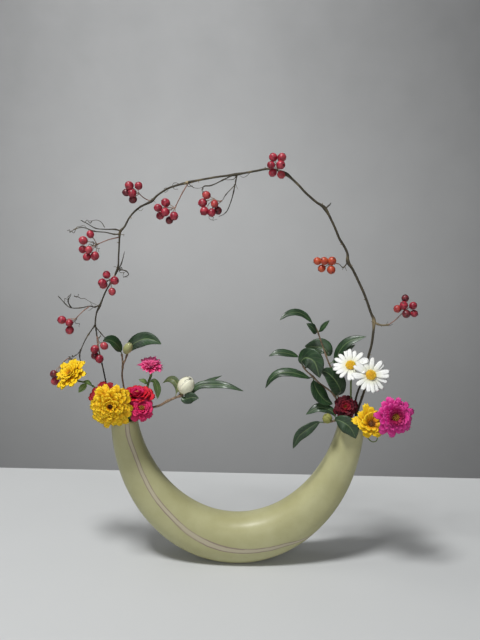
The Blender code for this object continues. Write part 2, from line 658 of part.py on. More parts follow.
def leaning_sprig():
    route = planted(1, 195, SPRIG_RADIUS, [(118, 4, 186), (109, 1, 205), (99, -1, 214),
                                            (91, -2, 220), (84, -2, 227), (77, -2, 233),
                                            (73, -2, 238), (68, -2, 248)])
    tube("leaning_sprig_stem", route, SPRIG_RADIUS, sprig_bark(), tip_radius=1 * MM)
    carried_leaf("leaning_sprig_leaf_twisted", (68, -2, 248), 0,
                 [(64, -5, 252), (54, -7, 255), (43, -8, 256), (33, -9, 252)], 11,
                 (0.2, -0.6, 0.75))
    carried_leaf("leaning_sprig_leaf_broad", (73, -2, 238), 1.1 * MM,
                 [(76, -6, 241), (82, -11, 247), (89, -16, 244), (92, -18, 234)], 19,
                 (-0.5, -0.75, 0.35))
    carried_leaf("leaning_sprig_leaf_long", (84, -2, 227), 1.3 * MM,
                 [(79, -9, 228), (70, -13, 232), (58, -14, 235), (45, -14, 234), (36, -14, 227), (30, -14, 216)],
                 13, (0, -0.6, 0.8))
    carried_leaf("leaning_sprig_leaf_glossy", (109, 1, 205), 1.4 * MM,
                 [(113, -7, 212), (109, -12, 224), (101, -14, 232), (93, -14, 237)], 17,
                 (0.5, -0.8, 0.4))
    carried_leaf("leaning_sprig_leaf_low", (84, -2, 227), 1.2 * MM,
                 [(84, -7, 220), (89, -9, 212), (97, -9, 205), (105, -7, 199)], 13,
                 (0.3, -0.75, 0.6))


def low_sprig():
    route = planted(1, 152, SPRIG_RADIUS, [(117, -12, 180), (111, -16, 181), (104, -17, 179),
                                            (97, -16, 178)])
    tube("low_sprig_stem", route, SPRIG_RADIUS, sprig_bark(), tip_radius=1.1 * MM)
    bud("green_bud", (100.5, -20.3, 184.5), (-0.5, -0.2, 0.8), 5.2, 5.6, bud_green())
    carried_leaf("low_sprig_leaf_upper", (111, -16, 181), 1.3 * MM,
                 [(109, -11, 187), (102, -9, 191), (90, -9, 192), (77, -11, 184)], 10,
                 (0, -0.55, 0.85))
    carried_leaf("low_sprig_leaf_lower", (97, -16, 178), 0,
                 [(90, -18, 178), (79, -20, 171), (69, -21, 162), (63, -22, 148)], 14,
                 (0.3, -0.9, 0.3))
    carried_leaf("low_sprig_leaf_front", (111, -16, 181), 1.3 * MM,
                 [(113, -20, 181), (121, -24, 179), (128, -24, 171), (133, -23, 161)], 17,
                 (-0.2, -0.97, 0.2))


def right_flowers():
    daisy("left_daisy", (125, -15, 245), (-0.15, -0.83, 0.54), 17.5, 16, 1, 95,
          [(128, -7, 190), (127, -6, 213)])
    daisy("right_daisy", (146, -24, 237), (0.1, -0.93, 0.35), 19.5, 16, 1, 50,
          [(132, -7, 195), (137, -7, 219)])
    whole_zinnia("maroon_zinnia", (116.5, -15, 198), (-0.1, -0.9, 0.35), 11.5, 8,
           petal("petal_maroon", (0.10, 0.004, 0.015)), 1, 122, [(121, -9, 186)])
    stalk = zinnia("gold_zinnia", (143.5, -34, 186), (0.1, -0.72, 0.68), 18.5, 8,
                   petal("petal_gold", (0.78, 0.50, 0.02)), 1, 75, [(134, -15, 177)], lobes=9)
    curl = tube("curl", [place(p) for p in GOLD_STALK_CURL], TWIG_RADIUS, stalk_green())
    joined([stalk, curl])
    zinnia("magenta_zinnia", (172.5, -43, 196), (0.25, -0.93, 0.2), 22.5, 9,
           petal("petal_magenta", (0.62, 0.015, 0.24)), 1, 20,
           [(147, -5, 184), (157, -13, 190)], lobes=14)


PARTS = None
CUTTERS = None


def build():
    vase()
    vine()
    for name, (anchor, hub, centres) in CLUSTERS.items():
        cluster(name, anchor, hub, centres)
    left_zinnias()
    upright_sprig()
    bud_branch()
    tall_sprig()
    leaning_sprig()
    low_sprig()
    right_flowers()


clear_scene()
PARTS = new_collection("ikebana_arrangement")
CUTTERS = new_collection("cutters")
build()
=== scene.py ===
import math
from types import SimpleNamespace
import bmesh
import bpy
from mathutils import Matrix, Vector


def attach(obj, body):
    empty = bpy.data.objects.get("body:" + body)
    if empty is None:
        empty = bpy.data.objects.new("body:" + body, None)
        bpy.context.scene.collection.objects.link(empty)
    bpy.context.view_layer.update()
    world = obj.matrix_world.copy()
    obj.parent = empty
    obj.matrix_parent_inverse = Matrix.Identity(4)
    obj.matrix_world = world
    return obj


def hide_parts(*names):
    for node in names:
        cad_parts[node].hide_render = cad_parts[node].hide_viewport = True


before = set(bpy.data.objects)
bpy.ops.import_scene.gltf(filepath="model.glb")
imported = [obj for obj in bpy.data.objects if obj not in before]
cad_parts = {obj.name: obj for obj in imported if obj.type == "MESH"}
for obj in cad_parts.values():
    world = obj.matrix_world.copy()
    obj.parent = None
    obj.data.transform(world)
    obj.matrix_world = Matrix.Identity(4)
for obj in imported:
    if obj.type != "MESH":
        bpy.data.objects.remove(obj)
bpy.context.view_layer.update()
print("frame loaded:", len(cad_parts), "nodes")

mm = 0.001
goldenTurn = 2.39996  # radians from one petal or floret to the next
scene = bpy.context.scene


def mathMethod(operation):  # a method that adds one Math node
    def method(self, *others):
        return self.graph.node("ShaderNodeMath", [self, *others], operation=operation)
    return method


# a value in a node tree that takes Python's operators
class Sock:
    __add__ = __radd__ = mathMethod("ADD")
    __sub__ = mathMethod("SUBTRACT")
    __mul__ = __rmul__ = mathMethod("MULTIPLY")
    __truediv__ = mathMethod("DIVIDE")
    __pow__ = mathMethod("POWER")
    __abs__ = mathMethod("ABSOLUTE")
    __gt__ = mathMethod("GREATER_THAN")
    __lt__ = mathMethod("LESS_THAN")
    atMost = mathMethod("MINIMUM")
    atLeast = mathMethod("MAXIMUM")
    sin = mathMethod("SINE")
    cos = mathMethod("COSINE")
    sqrt = mathMethod("SQRT")
    exp = mathMethod("EXPONENT")
    sign = mathMethod("SIGN")
    floor = mathMethod("FLOOR")
    fraction = mathMethod("FRACT")

    def __init__(self, graph, socket):
        self.graph = graph
        self.socket = socket

    def __neg__(self):
        return self * -1

    def __rsub__(self, other):
        return self * -1 + other

    def __rtruediv__(self, other):
        return self ** -1 * other

    def ramp(self, low, high):  # smooth step from 0 at low to 1 at high
        return self.graph.node("ShaderNodeMapRange", [self, low, high], interpolation_type="SMOOTHSTEP")

    def out(self, place):  # another output of the same node
        return Sock(self.graph, self.socket.node.outputs[place])


class Graph:
    def __init__(self, tree):
        self.tree = tree

    def node(self, kind, sockets=(), out=0, **settings):  # settings go in before values
        made = self.tree.nodes.new(kind)
        for name, value in settings.items():
            if name == "curve":
                self.setCurve(made.mapping, value)
            else:
                setattr(made, name, value)
        self.feed(made, sockets)
        return Sock(self, made.outputs[out])

    def feed(self, made, sockets):
        pairs = sockets.items() if isinstance(sockets, dict) else enumerate(sockets)
        for place, value in pairs:
            if isinstance(value, Sock):
                self.tree.links.new(value.socket, made.inputs[place])
            elif value is not None:
                made.inputs[place].default_value = value

    def setCurve(self, mapping, points):
        curve = mapping.curves[0]
        while len(curve.points) < len(points):
            curve.points.new(0.5, 0.5)
        for point, place in zip(curve.points, points):
            point.location = place
        mapping.update()

    def vector(self, x=0.0, y=0.0, z=0.0):
        return self.node("ShaderNodeCombineXYZ", [x, y, z])

    def split(self, vector):
        parts = self.node("ShaderNodeSeparateXYZ", [vector])
        return parts, parts.out(1), parts.out(2)

    def vectorMath(self, operation, *values):
        return self.node("ShaderNodeVectorMath", values, operation=operation)

    def scaled(self, vector, factor):
        return self.node("ShaderNodeVectorMath", {0: vector, "Scale": factor}, operation="SCALE")

    def noise(self, vector, scale, detail=2.0, roughness=0.5):
        return self.node("ShaderNodeTexNoise",
                         {"Vector": vector, "Scale": scale, "Detail": detail, "Roughness": roughness})

    # shading
    def mix(self, factor, first, second):
        sockets = {0: factor, 6: tint(first), 7: tint(second)}
        return self.node("ShaderNodeMix", sockets, 2, data_type="RGBA")

    def place(self):  # object coordinates, in metres
        return self.node("ShaderNodeTexCoord", out="Object")

    def value(self, name):  # an attribute of the mesh
        return self.node("ShaderNodeAttribute", out="Fac", attribute_name=name)

    def surface(self):  # the piece's own UV map
        return self.node("ShaderNodeUVMap", uv_map="UVMap")

    def bump(self, height, strength, distance):
        return self.node("ShaderNodeBump",
                         {"Height": height, "Strength": strength, "Distance": distance})

    # geometry
    def position(self):
        return self.split(self.node("GeometryNodeInputPosition"))

    def index(self):
        return self.node("GeometryNodeInputIndex")

    def named(self, name, kind="FLOAT"):
        return self.node("GeometryNodeInputNamedAttribute", [name], data_type=kind)

    def store(self, geometry, name, value, domain="POINT", kind="FLOAT"):
        return self.node("GeometryNodeStoreNamedAttribute", {0: geometry, 2: name, 3: value},
                         data_type=kind, domain=domain)

    def chance(self, low, high, seed):  # a random number for each element
        return self.node("FunctionNodeRandomValue", {2: low, 3: high, 8: seed}, 1, data_type="FLOAT")

    def join(self, *geometries):
        made = self.tree.nodes.new("GeometryNodeJoinGeometry")
        for geometry in geometries:
            self.tree.links.new(geometry.socket, made.inputs[0])
        return Sock(self, made.outputs[0])

    def moved(self, geometry, place=None, offset=None):
        return self.node("GeometryNodeSetPosition", {0: geometry, 2: place, 3: offset})

    def merged(self, geometry, distance):
        return self.node("GeometryNodeMergeByDistance", {0: geometry, 2: distance})

    def turnTo(self, direction):  # the turn that stands Z along a direction
        return self.node("FunctionNodeAlignRotationToVector", {2: direction}, axis="Z")

    def turned(self, spot, given):  # a flower part's spot, turned and put in place
        spot = self.node("FunctionNodeRotateVector", [spot, self.turnTo(given.facing)])
        return self.scaled(self.vectorMath("ADD", spot, given.centre), mm)


def tint(value):  # a screen colour 0..255 as linear light
    if isinstance(value, tuple):
        return (*(((part / 255 + 0.055) / 1.055) ** 2.4 for part in value), 1.0)
    return value


def padded(value):  # a pair is a vector that ends in 0
    return (*map(float, value), 0.0)[:3] if isinstance(value, tuple) else value


def newMaterial(name, **constants):
    made = bpy.data.materials.new(name)
    made.use_nodes = True
    shader = made.node_tree.nodes["Principled BSDF"]
    for socket, value in constants.items():
        shader.inputs[socket.replace("_", " ")].default_value = value
    return made, Graph(made.node_tree), shader


def newTree(name, **inputs):
    tree = bpy.data.node_groups.new(name, "GeometryNodeTree")
    tree.is_modifier = True
    kinds = {int: "NodeSocketInt", float: "NodeSocketFloat", tuple: "NodeSocketVector"}
    tree.interface.new_socket("Geometry", in_out="INPUT", socket_type="NodeSocketGeometry")
    for label, value in inputs.items():
        made = tree.interface.new_socket(label, in_out="INPUT", socket_type=kinds[type(value)])
        made.default_value = padded(value)
    tree.interface.new_socket("Material", in_out="INPUT", socket_type="NodeSocketMaterial")
    tree.interface.new_socket("Geometry", in_out="OUTPUT", socket_type="NodeSocketGeometry")
    graph = Graph(tree)
    start = tree.nodes.new("NodeGroupInput")
    given = {socket.name: Sock(graph, socket) for socket in start.outputs if socket.name}
    return graph, SimpleNamespace(**given)


def endTree(graph, geometry, given):
    smooth = graph.node("GeometryNodeSetShadeSmooth", [geometry])
    real = graph.node("GeometryNodeRealizeInstances", [smooth])
    painted = graph.node("GeometryNodeSetMaterial", {0: real, 2: given.Material})
    end = graph.tree.nodes.new("NodeGroupOutput")
    graph.feed(end, [painted])
    return graph.tree


def grow(name, tree, material, source=None, **values):  # runs a tree and keeps its mesh
    host = bpy.data.objects.new(name, source or bpy.data.meshes.new(name))
    scene.collection.objects.link(host)
    modifier = host.modifiers.new("grow", "NODES")
    modifier.node_group = tree
    for item in tree.interface.items_tree:
        if item.item_type == "SOCKET" and item.in_out == "INPUT" and item.name in values:
            value = padded(values[item.name])
            number = item.socket_type == "NodeSocketFloat"
            modifier[item.identifier] = float(value) if number else value
        elif item.item_type == "SOCKET" and item.name == "Material":
            modifier[item.identifier] = material
    bpy.context.view_layer.update()
    mesh = bpy.data.meshes.new_from_object(host.evaluated_get(bpy.context.evaluated_depsgraph_get()))
    bpy.data.objects.remove(host, do_unlink=True)
    mesh.name = name
    shape = bmesh.new()
    shape.from_mesh(mesh)
    bmesh.ops.recalc_face_normals(shape, faces=shape.faces)
    shape.to_mesh(mesh)
    shape.free()
    piece = bpy.data.objects.new(name, mesh)
    scene.collection.objects.link(piece)
    return piece


def finished(piece, slot, *nodes):  # one finished piece on the frame
    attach(piece, "root")
    if nodes:
        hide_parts(*nodes)


def smoothRoute(points, steps):  # Catmull-Rom through every point
    points = [Vector(p) * mm for p in points]
    ends = [points[0] * 2 - points[1]] + points + [points[-1] * 2 - points[-2]]
    route = []
    for i in range(1, len(ends) - 2):
        a, b, c, d = ends[i - 1:i + 3]
        for k in range(steps):
            t = k / steps
            route.append(((b * 2) + (c - a) * t + (a * 2 - b * 5 + c * 4 - d) * t ** 2
                          + (b * 3 - a - c * 3 + d) * t ** 3) * 0.5)
    return route + [points[-1]]


def setValues(mesh, **values):  # numbers on the corners of a mesh
    for name, numbers in values.items():
        mesh.attributes.new(name, "FLOAT", "POINT").data.foreach_set("value", numbers)


def strands(name, paths):  # open chains of edges with a thickness
    mesh = bpy.data.meshes.new(name)
    corners, edges, thickness, tones = [], [], [], []
    for route, radii, tone in paths:
        start = len(corners)
        corners += route
        edges += [(start + i, start + i + 1) for i in range(len(route) - 1)]
        thickness += radii
        tones += tone if isinstance(tone, list) else [tone] * len(route)
    mesh.from_pydata(corners, edges, [])
    setValues(mesh, thick=thickness, tone=tones)
    return mesh


def tapered(route, first, last, tip=True):  # radii along a route, given in millimetres at its ends
    count = len(route) - 1
    radii = [first * mm + (last - first) * mm * i / count for i in range(count + 1)]
    if tip:
        radii[-1] *= 0.45  # a rounded end
    return radii


def swollen(route, radii, knots, strength, reach):  # thicker where the knots are
    out = []
    for point, radius in zip(route, radii):
        near = min((point - Vector(knot) * mm).length for knot in knots) / (reach * mm)
        out.append(radius * (1 + strength * math.exp(-near * near)))
    return out


# the vase: an elliptical centre line carries a section that thins towards the mouths, in millimetres
vaseSizes = {
    "halfSpan": 131.0, "lineRise": 162.0, "centreHeight": 188.2, "mouthAngle": 83.3,
    "mouthHalfWidth": 15.0, "mouthHalfDepth": 17.0,
    "extraWidth": 14.0, "extraDepth": 10.0, "swellPower": 1.1,
    "wall": 4.0, "extraWall": 4.0, "sectionPower": 2.4,
    "unevenness": 0.5, "wavesAlong": 7.0, "waveScale": 1.3,
}


def vaseTree():
    graph, given = newTree("crescentVase", **vaseSizes)
    alongCount, roundCount = 257, 97
    sheet = graph.node("GeometryNodeMeshGrid", [1.0, 1.0, alongCount, roundCount])
    x, y, z = graph.position()
    bodyShare = 0.92  # of each half; the rest is the lip
    share = (x + 0.5) * 2
    half = share.fraction()
    # the walk goes along the outside, over the right lip, back inside and over the left lip
    walk = (share.floor() * 2 + (half / bodyShare).atMost(1)
            + ((half - bodyShare) / (1 - bodyShare)).atLeast(0))
    station = (2 - abs((walk - 1.5) * 2)).atMost(1).atLeast(-1)
    over = (walk - 1).atLeast(0).atMost(1) - (walk - 3).atLeast(0).atMost(1)
    sheet = graph.store(sheet, "UVMap", graph.vector(station * 0.5 + 0.5, y + 0.5),
                        "CORNER", "FLOAT2")
    sheet = graph.store(sheet, "inside", over)
    angle = station * given.mouthAngle * (math.pi / 180)
    swell = (station * (math.pi / 2)).cos().atLeast(0) ** given.swellPower
    wall = given.wall + given.extraWall * swell ** 3
    inset = wall * (1 - (over * math.pi).cos()) * 0.5
    turn = y * (2 * math.pi)
    spot = graph.vector(station * given.wavesAlong, turn.cos(), turn.sin())
    wobble = graph.noise(spot, given.waveScale) - 0.5
    inset = inset - wobble * given.unevenness
    power = 2 / given.sectionPower
    across = turn.cos().sign() * abs(turn.cos()) ** power
    forward = turn.sin().sign() * abs(turn.sin()) ** power
    width = given.mouthHalfWidth + given.extraWidth * swell - inset
    depth = given.mouthHalfDepth + given.extraDepth * swell - inset
    spanPart = given.halfSpan * angle.cos()
    risePart = given.lineRise * angle.sin()
    length = (spanPart * spanPart + risePart * risePart).sqrt()
    push = wall * 0.5 * (over * math.pi).sin() * station.sign()
    reach = across * width
    placeX = given.halfSpan * angle.sin() + (risePart * reach + spanPart * push) / length
    placeZ = (given.centreHeight - given.lineRise * angle.cos()
              + (risePart * push - spanPart * reach) / length)
    place = graph.scaled(graph.vector(placeX, -(depth * forward), placeZ.atLeast(0)), mm)
    mergeDistance = 0.02 * mm  # closes the seam along the sheet's edges
    return endTree(graph, graph.merged(graph.moved(sheet, place), mergeDistance), given)


# how stems stand in the arms: degrees along the arm, then millimetres
rootLook = {"angles": (66, 74), "step": 0.5, "gap": 0.5, "rise": 4}


def armPoint(degrees, gap, around):  # a place near the inner wall of an arm
    look = vaseSizes
    angle, turn = math.radians(degrees), math.radians(around)
    swell = max(math.cos(angle * math.pi / 2 / math.radians(look["mouthAngle"])), 0) ** look["swellPower"]
    inset = look["wall"] + look["extraWall"] * swell ** 3 + gap
    out = Vector((look["lineRise"] * math.sin(angle), 0, -look["halfSpan"] * math.cos(angle))).normalized()
    power = 2 / look["sectionPower"]
    across = math.copysign(abs(math.cos(turn)) ** power, math.cos(turn))
    forward = math.copysign(abs(math.sin(turn)) ** power, math.sin(turn))
    centre = Vector((look["halfSpan"] * math.sin(angle), 0,
                     look["centreHeight"] - look["lineRise"] * math.cos(angle)))
    width = look["mouthHalfWidth"] + look["extraWidth"] * swell - inset
    depth = look["mouthHalfDepth"] + look["extraDepth"] * swell - inset
    return centre + out * (width * across) + Vector((0, -depth * forward, 0))


def planted(side, around, radius, points):  # a route that starts deep in an arm
    mouth, gap = vaseSizes["mouthAngle"], radius + rootLook["gap"]
    feet = [armPoint(side * degrees, gap, around) for degrees in (*rootLook["angles"], mouth)]
    past = (armPoint(side * (mouth + rootLook["step"]), gap, around) - feet[-1]).normalized()
    return feet + [feet[-1] + past * rootLook["rise"]] + [Vector(p) for p in points]


glazeLook = {
    "olive": (168, 165, 120), "pale": (180, 178, 135), "brown": (142, 132, 92),
    "line": (128, 108, 104), "band": (188, 176, 160), "clay": (150, 120, 92),
    "lineWidth": 0.55, "lineSpread": 2.4, "lineWander": 0.9,  # millimetres
    "girth": 108, "extraGirth": 96,  # round the section, at the mouths and the middle
    "lineStrength": 0.75, "bandStrength": 0.65, "roughness": 0.42, "coat": 0.11,
}
# where the double line runs: share along the vase, share round its section
linePath = [(0.0, 0.8), (0.02, 0.794), (0.08, 0.808), (0.145, 0.801), (0.205, 0.789), (0.275, 0.781),
            (0.34, 0.765), (0.415, 0.75), (0.475, 0.739), (0.54, 0.728), (0.595, 0.714), (0.645, 0.692),
            (0.68, 0.65), (0.71, 0.597), (0.75, 0.522), (0.8, 0.417), (0.86, 0.333), (0.925, 0.278),
            (1.0, 0.236)]


def glazeMaterial():
    look = glazeLook
    made, graph, shader = newMaterial("crescentGlaze", Coat_Roughness=0.26, Specular_IOR_Level=0.45)
    place = graph.place()
    u, v, unused = graph.split(graph.surface())
    inside = graph.value("inside")
    cloud = graph.noise(place, 22.0, 4.0, 0.55)
    fine = graph.noise(place, 260.0, 3.0, 0.6)
    grain = graph.noise(place, 1500.0)
    colour = graph.mix(cloud.ramp(0.3, 0.7), look["olive"], look["pale"])
    colour = graph.mix(fine.ramp(0.55, 0.8) * 0.14, colour, look["brown"])
    path = graph.node("ShaderNodeFloatCurve", [1.0, u], curve=linePath)
    girth = look["girth"] + look["extraGirth"] * (u * math.pi).sin()
    wander = (graph.noise(place, 130.0) - 0.5) * look["lineWander"]
    away = abs((v - path) * girth + wander)  # millimetres from the line's middle
    band = 1 - away.ramp(look["lineSpread"] - 0.4, look["lineSpread"] + 0.4)
    edge = 1 - abs(away - look["lineSpread"]).ramp(look["lineWidth"] * 0.5, look["lineWidth"] * 1.7)
    faded = 0.55 + 0.45 * graph.noise(place, 60.0, 3.0).ramp(0.3, 0.6)
    outside = 1 - inside.ramp(0.02, 0.2)
    colour = graph.mix(band * look["bandStrength"] * outside, colour, look["band"])
    colour = graph.mix(edge * faded * look["lineStrength"] * outside, colour, look["line"])
    lip = inside.ramp(0.1, 0.45) * (1 - inside.ramp(0.6, 0.95))
    colour = graph.mix(lip * 0.45, colour, look["pale"])
    colour = graph.mix(inside.ramp(0.6, 1.0) * 0.6, colour, look["brown"])
    height = graph.split(place)[2]
    bare = 1 - height.ramp(0.0002, 0.0012)  # no glaze under the foot
    colour = graph.mix(bare, colour, look["clay"])
    graph.feed(shader, {"Base Color": colour,
                        "Roughness": look["roughness"] + 0.12 * fine + bare * 0.3,
                        "Coat Weight": (1 - bare) * look["coat"],
                        "Normal": graph.bump(cloud * 0.5 + fine * 0.2 + grain * 0.06, 0.25, 0.001)})
    return made


vase = grow("crescent_vase", vaseTree(), glazeMaterial(), **vaseSizes)
finished(vase, "glaze", "vase")
print("vase:", len(vase.data.polygons), "faces")


# stems: round tubes along edge chains, with ridges and an uneven surface
stemDefaults = {"sides": 10, "ridges": 4.0, "ridgeDepth": 0.05, "rough": 0.22, "roughScale": 700.0}


def stemTree():
    graph, given = newTree("stems", **stemDefaults)
    curve = graph.node("GeometryNodeMeshToCurve", [given.Geometry])
    ring = graph.node("GeometryNodeCurvePrimitiveCircle", {0: given.sides, 4: 1.0})
    ring = graph.store(ring, "around", graph.index() / given.sides * (2 * math.pi))
    thickness = graph.named("thick")
    tube = graph.node("GeometryNodeCurveToMesh", {0: curve, 1: ring, 2: thickness, 3: True})
    spot = graph.node("GeometryNodeInputPosition")
    wave = (graph.named("around") * given.ridges).sin() * given.ridgeDepth
    lumps = (graph.noise(spot, given.roughScale, 3.0) - 0.5) * given.rough
    normal = graph.node("GeometryNodeInputNormal")
    tube = graph.moved(tube, None, graph.scaled(normal, (wave + lumps) * thickness))
    return endTree(graph, tube, given)


def barkMaterial(name, dark, light, tip, scale):
    made, graph, shader = newMaterial(name, Specular_IOR_Level=0.35)
    place = graph.place()
    streak = graph.noise(place, scale, 4.0, 0.65)
    patch = graph.noise(place, scale * 0.12, 3.0)
    colour = graph.mix(streak.ramp(0.35, 0.7), dark, light)
    colour = graph.mix(patch.ramp(0.52, 0.75) * 0.35, colour, tip)
    colour = graph.mix(graph.value("tone"), colour, tip)
    graph.feed(shader, {"Base Color": colour, "Roughness": 0.55 + 0.25 * streak,
                        "Normal": graph.bump(streak, 0.6, 0.0004)})
    return made


barkLooks = {  # dark, light and tip colours, scale of streaks
    "vineBark": ((32, 31, 27), (56, 54, 45), (156, 140, 106), 600.0),
    "sprigBark": ((100, 82, 66), (156, 132, 106), (176, 160, 130), 500.0),
    "darkStalk": ((34, 32, 24), (66, 62, 44), (84, 84, 54), 400.0),
    "softGreenStalk": ((58, 82, 40), (104, 124, 66), (140, 150, 100), 350.0),
    "berryStalk": ((98, 62, 54), (150, 110, 94), (210, 192, 172), 500.0),
}
stems = stemTree()
barks = {name: barkMaterial(name, *look) for name, look in barkLooks.items()}


# the vine: a main stem from mouth to mouth, its twigs and its tendrils, in millimetres
vineRoute = [(138, 4, 189), (141, 4, 200), (144, 4, 213), (145, 4, 232), (146, 4, 250), (149, 4, 266),
             (150, 4, 291), (146, 3, 301), (138, 2, 321), (131, 1, 335), (123, 0, 350), (117, 0, 359),
             (116, 0, 368), (112, 0, 376), (106, -1, 385), (100, -2, 398), (89, -4, 417), (79, -6, 424),
             (67, -8, 434), (58, -8, 443), (46, -8, 453), (36, -6, 457), (26, -4, 458), (12, 0, 455),
             (-8, 1, 451), (-32, 4, 447), (-59, 6, 441), (-79, 6, 435), (-92, 4, 427), (-99, 3, 420),
             (-112, 1, 413), (-122, 0, 403), (-128, 0, 392), (-133, 0, 386), (-134, 1, 374),
             (-135, 2, 361), (-137, 3, 343), (-150, 5, 319), (-157, 5, 302), (-161, 5, 293),
             (-163, 5, 277)]
vineLeftFoot = [(-162.5, 5, 282), (-161, 6, 267), (-160, 6, 257), (-158, 6, 245), (-155, 6, 231),
                (-152, 6, 215), (-147, 5, 193)]
vineLook = {  # places round the arms, radii, swellings, tones
    "around": 300, "foot": 1.6, "tip": 0.85, "leftAround": 330, "leftFoot": 0.8,
    "twig": 0.7, "stout": 1.05, "tendril": 0.38, "sheath": 1.35, "thinning": 0.5,
    "nodes": (0.6, 5), "twigKnots": (0.5, 1.8), "stoutKnots": (0.4, 2), "sheathKnot": (0.3, 2),
    "darkTone": 0.1, "paleTone": 0.85, "paleReach": 5, "stoutTone": 0.45, "twigTone": 0.06,
}
thornLook = {
    "length": 1.6, "reach": 2.5, "hook": 0.7, "radii": (0.75, 0.4, 0.08), "tone": 0.5,
    "forward": -0.6, "backward": 0.4, "sunk": 0.5,
}
curlLook = {"pointsPerTurn": 7, "shrink": 0.55, "level": (0.2, 1, 0.3)}
vineNodes = [vineRoute[i] for i in (6, 11, 16, 20, 24, 26, 29, 33, 36, 38)]
vineTwigs = [  # each starts inside the main stem
    [(-162.6, 5, 280), (-170, 4, 269), (-174, 3, 262), (-179, 2, 251), (-184, 2, 245), (-191, 3, 242)],
    [(-178.7, 2, 251.5), (-180, 1, 245), (-179, 1, 239), (-175, 2, 237)],
    [(-162.8, 5, 278.5), (-156, 3, 271), (-152, 2, 267), (-147, 2, 264)],
    [(-132.4, 0, 387.5), (-138, -1, 389), (-148, -2, 389), (-159, -3, 390), (-168, -3, 395),
     (-174, -4, 398)],
    [(-133.2, 0, 384.2), (-139, -3, 384), (-148, -4, 386), (-160, -5, 387), (-172, -6, 391),
     (-181, -6, 389), (-185, -6, 386)],
    [(-136.6, 3, 344.5), (-127, 1, 343), (-124, -1, 339), (-130, -2, 336)],
    [(-137.4, 3, 341.4), (-132, 1, 351), (-128, -1, 365)],
    [(-156.8, 5, 303), (-162, 3, 301), (-168, 2, 302), (-179, 1, 300), (-189, 1, 300), (-195, 2, 304),
     (-203, 3, 313)],
    [(-188.4, 1, 300), (-191, -2, 308), (-187, -4, 316)],
    [(-6.5, 1, 451.2), (-8, -1, 444), (-9, -3, 440), (-18, -5, 430), (-22, -5, 423)],
    [(-8.7, -2.5, 441), (-10, -2, 433), (-13, -1, 421), (-18, 0, 410), (-26, 1, 405)],
    [(-10, 1.2, 450.8), (-22, -3, 445), (-34, -5, 439), (-42, -6, 438), (-44, -6, 433)],
    [(117, 0, 359), (112, -2, 353), (107, -3, 357)],
    [(89, -4, 417), (93, -6, 421), (95, -6, 424)],
]
stoutTwig = [(150, 4, 291), (154, 2, 289), (159, 1, 288), (166, 0, 289)]
vineTendrils = [  # finer strands, loops and stubs
    [(-149, -3, 391), (-153, -3, 397), (-158, -3, 399), (-163, -3, 398), (-166, -3, 398)],
    [(-185, -6, 387), (-182, -6, 385), (-179, -6, 391), (-175, -6, 392), (-171, -6, 393), (-166, -6, 388)],
    [(-195, 1, 305), (-199, 1, 309), (-203, 1, 313)],
    [(-191, -3, 313), (-187, -3, 317)],
    [(-184, 0, 313), (-181, 0, 313), (-177, 0, 311), (-173, 0, 311), (-168, 0, 308), (-162, 0, 305),
     (-157, 4, 302)],
    [(-164, 2, 301), (-165, 1, 303), (-167, 1, 307)],
    [(-161, 3, 302), (-163, 0, 302), (-165, 0, 300), (-169, 0, 297)],
    [(-7, 1, 451), (-10, 2, 446), (-16, 2, 445), (-22, 2, 445), (-27, 2, 442), (-35, 2, 439),
     (-42, 2, 438), (-43, 2, 434), (-44, 2, 430)],
    [(-8, -1, 444), (-8, -3, 441), (-5, -3, 435)],
    [(-59, 6, 441), (-58, 4, 439), (-54, 4, 436), (-49, 4, 435), (-44, 4, 436)],
    [(114, -1, 355), (114, -3, 353), (116, -3, 349)],
    [(112, -2, 353), (111, -3, 350)],
    [(161, 0.5, 288.5), (163, 0, 289), (165, 0, 293)],
    [(163, 0, 289), (167, 0, 288), (171, 0, 290)],
    [(154, 2, 289), (156, 1, 288), (159, 1, 286)],
    [(150, 4, 291), (149, 2, 291), (146, 2, 292)],
    [(-62, 5, 440), (-68, 4, 438), (-71, 4, 440), (-75, 4, 440), (-76, 4, 437), (-73, 4, 436)],
    [(-74, 6, 436), (-77, 2, 436), (-81, 2, 435), (-85, 2, 434), (-84, 2, 430), (-80, 2, 433)],
    [(-103, 2, 417), (-106, -2, 417), (-111, -2, 415), (-113, -2, 412), (-110, -2, 410), (-107, -2, 413)],
    [(12, 0, 455), (7, 1, 453), (4, 1, 450), (0, 1, 448), (-4, 1, 450)],
    [(-59, 6, 441), (-59, 3, 442), (-51, 3, 444), (-41, 3, 446), (-31, 3, 447)],
    [(-22, -5, 423), (-31, -5, 416), (-34, -4, 410), (-36, -4, 404), (-32, -4, 402), (-27, -4, 403)],
    [(-160, 6, 264), (-156, 3, 268), (-159, 3, 263), (-156, 3, 260), (-153, 3, 262)],
    [(-99, 3, 420), (-99, 0, 422), (-94, 0, 419)],
    [(-8, 1, 451), (-8, 0, 447), (-7, -1, 445)],
]
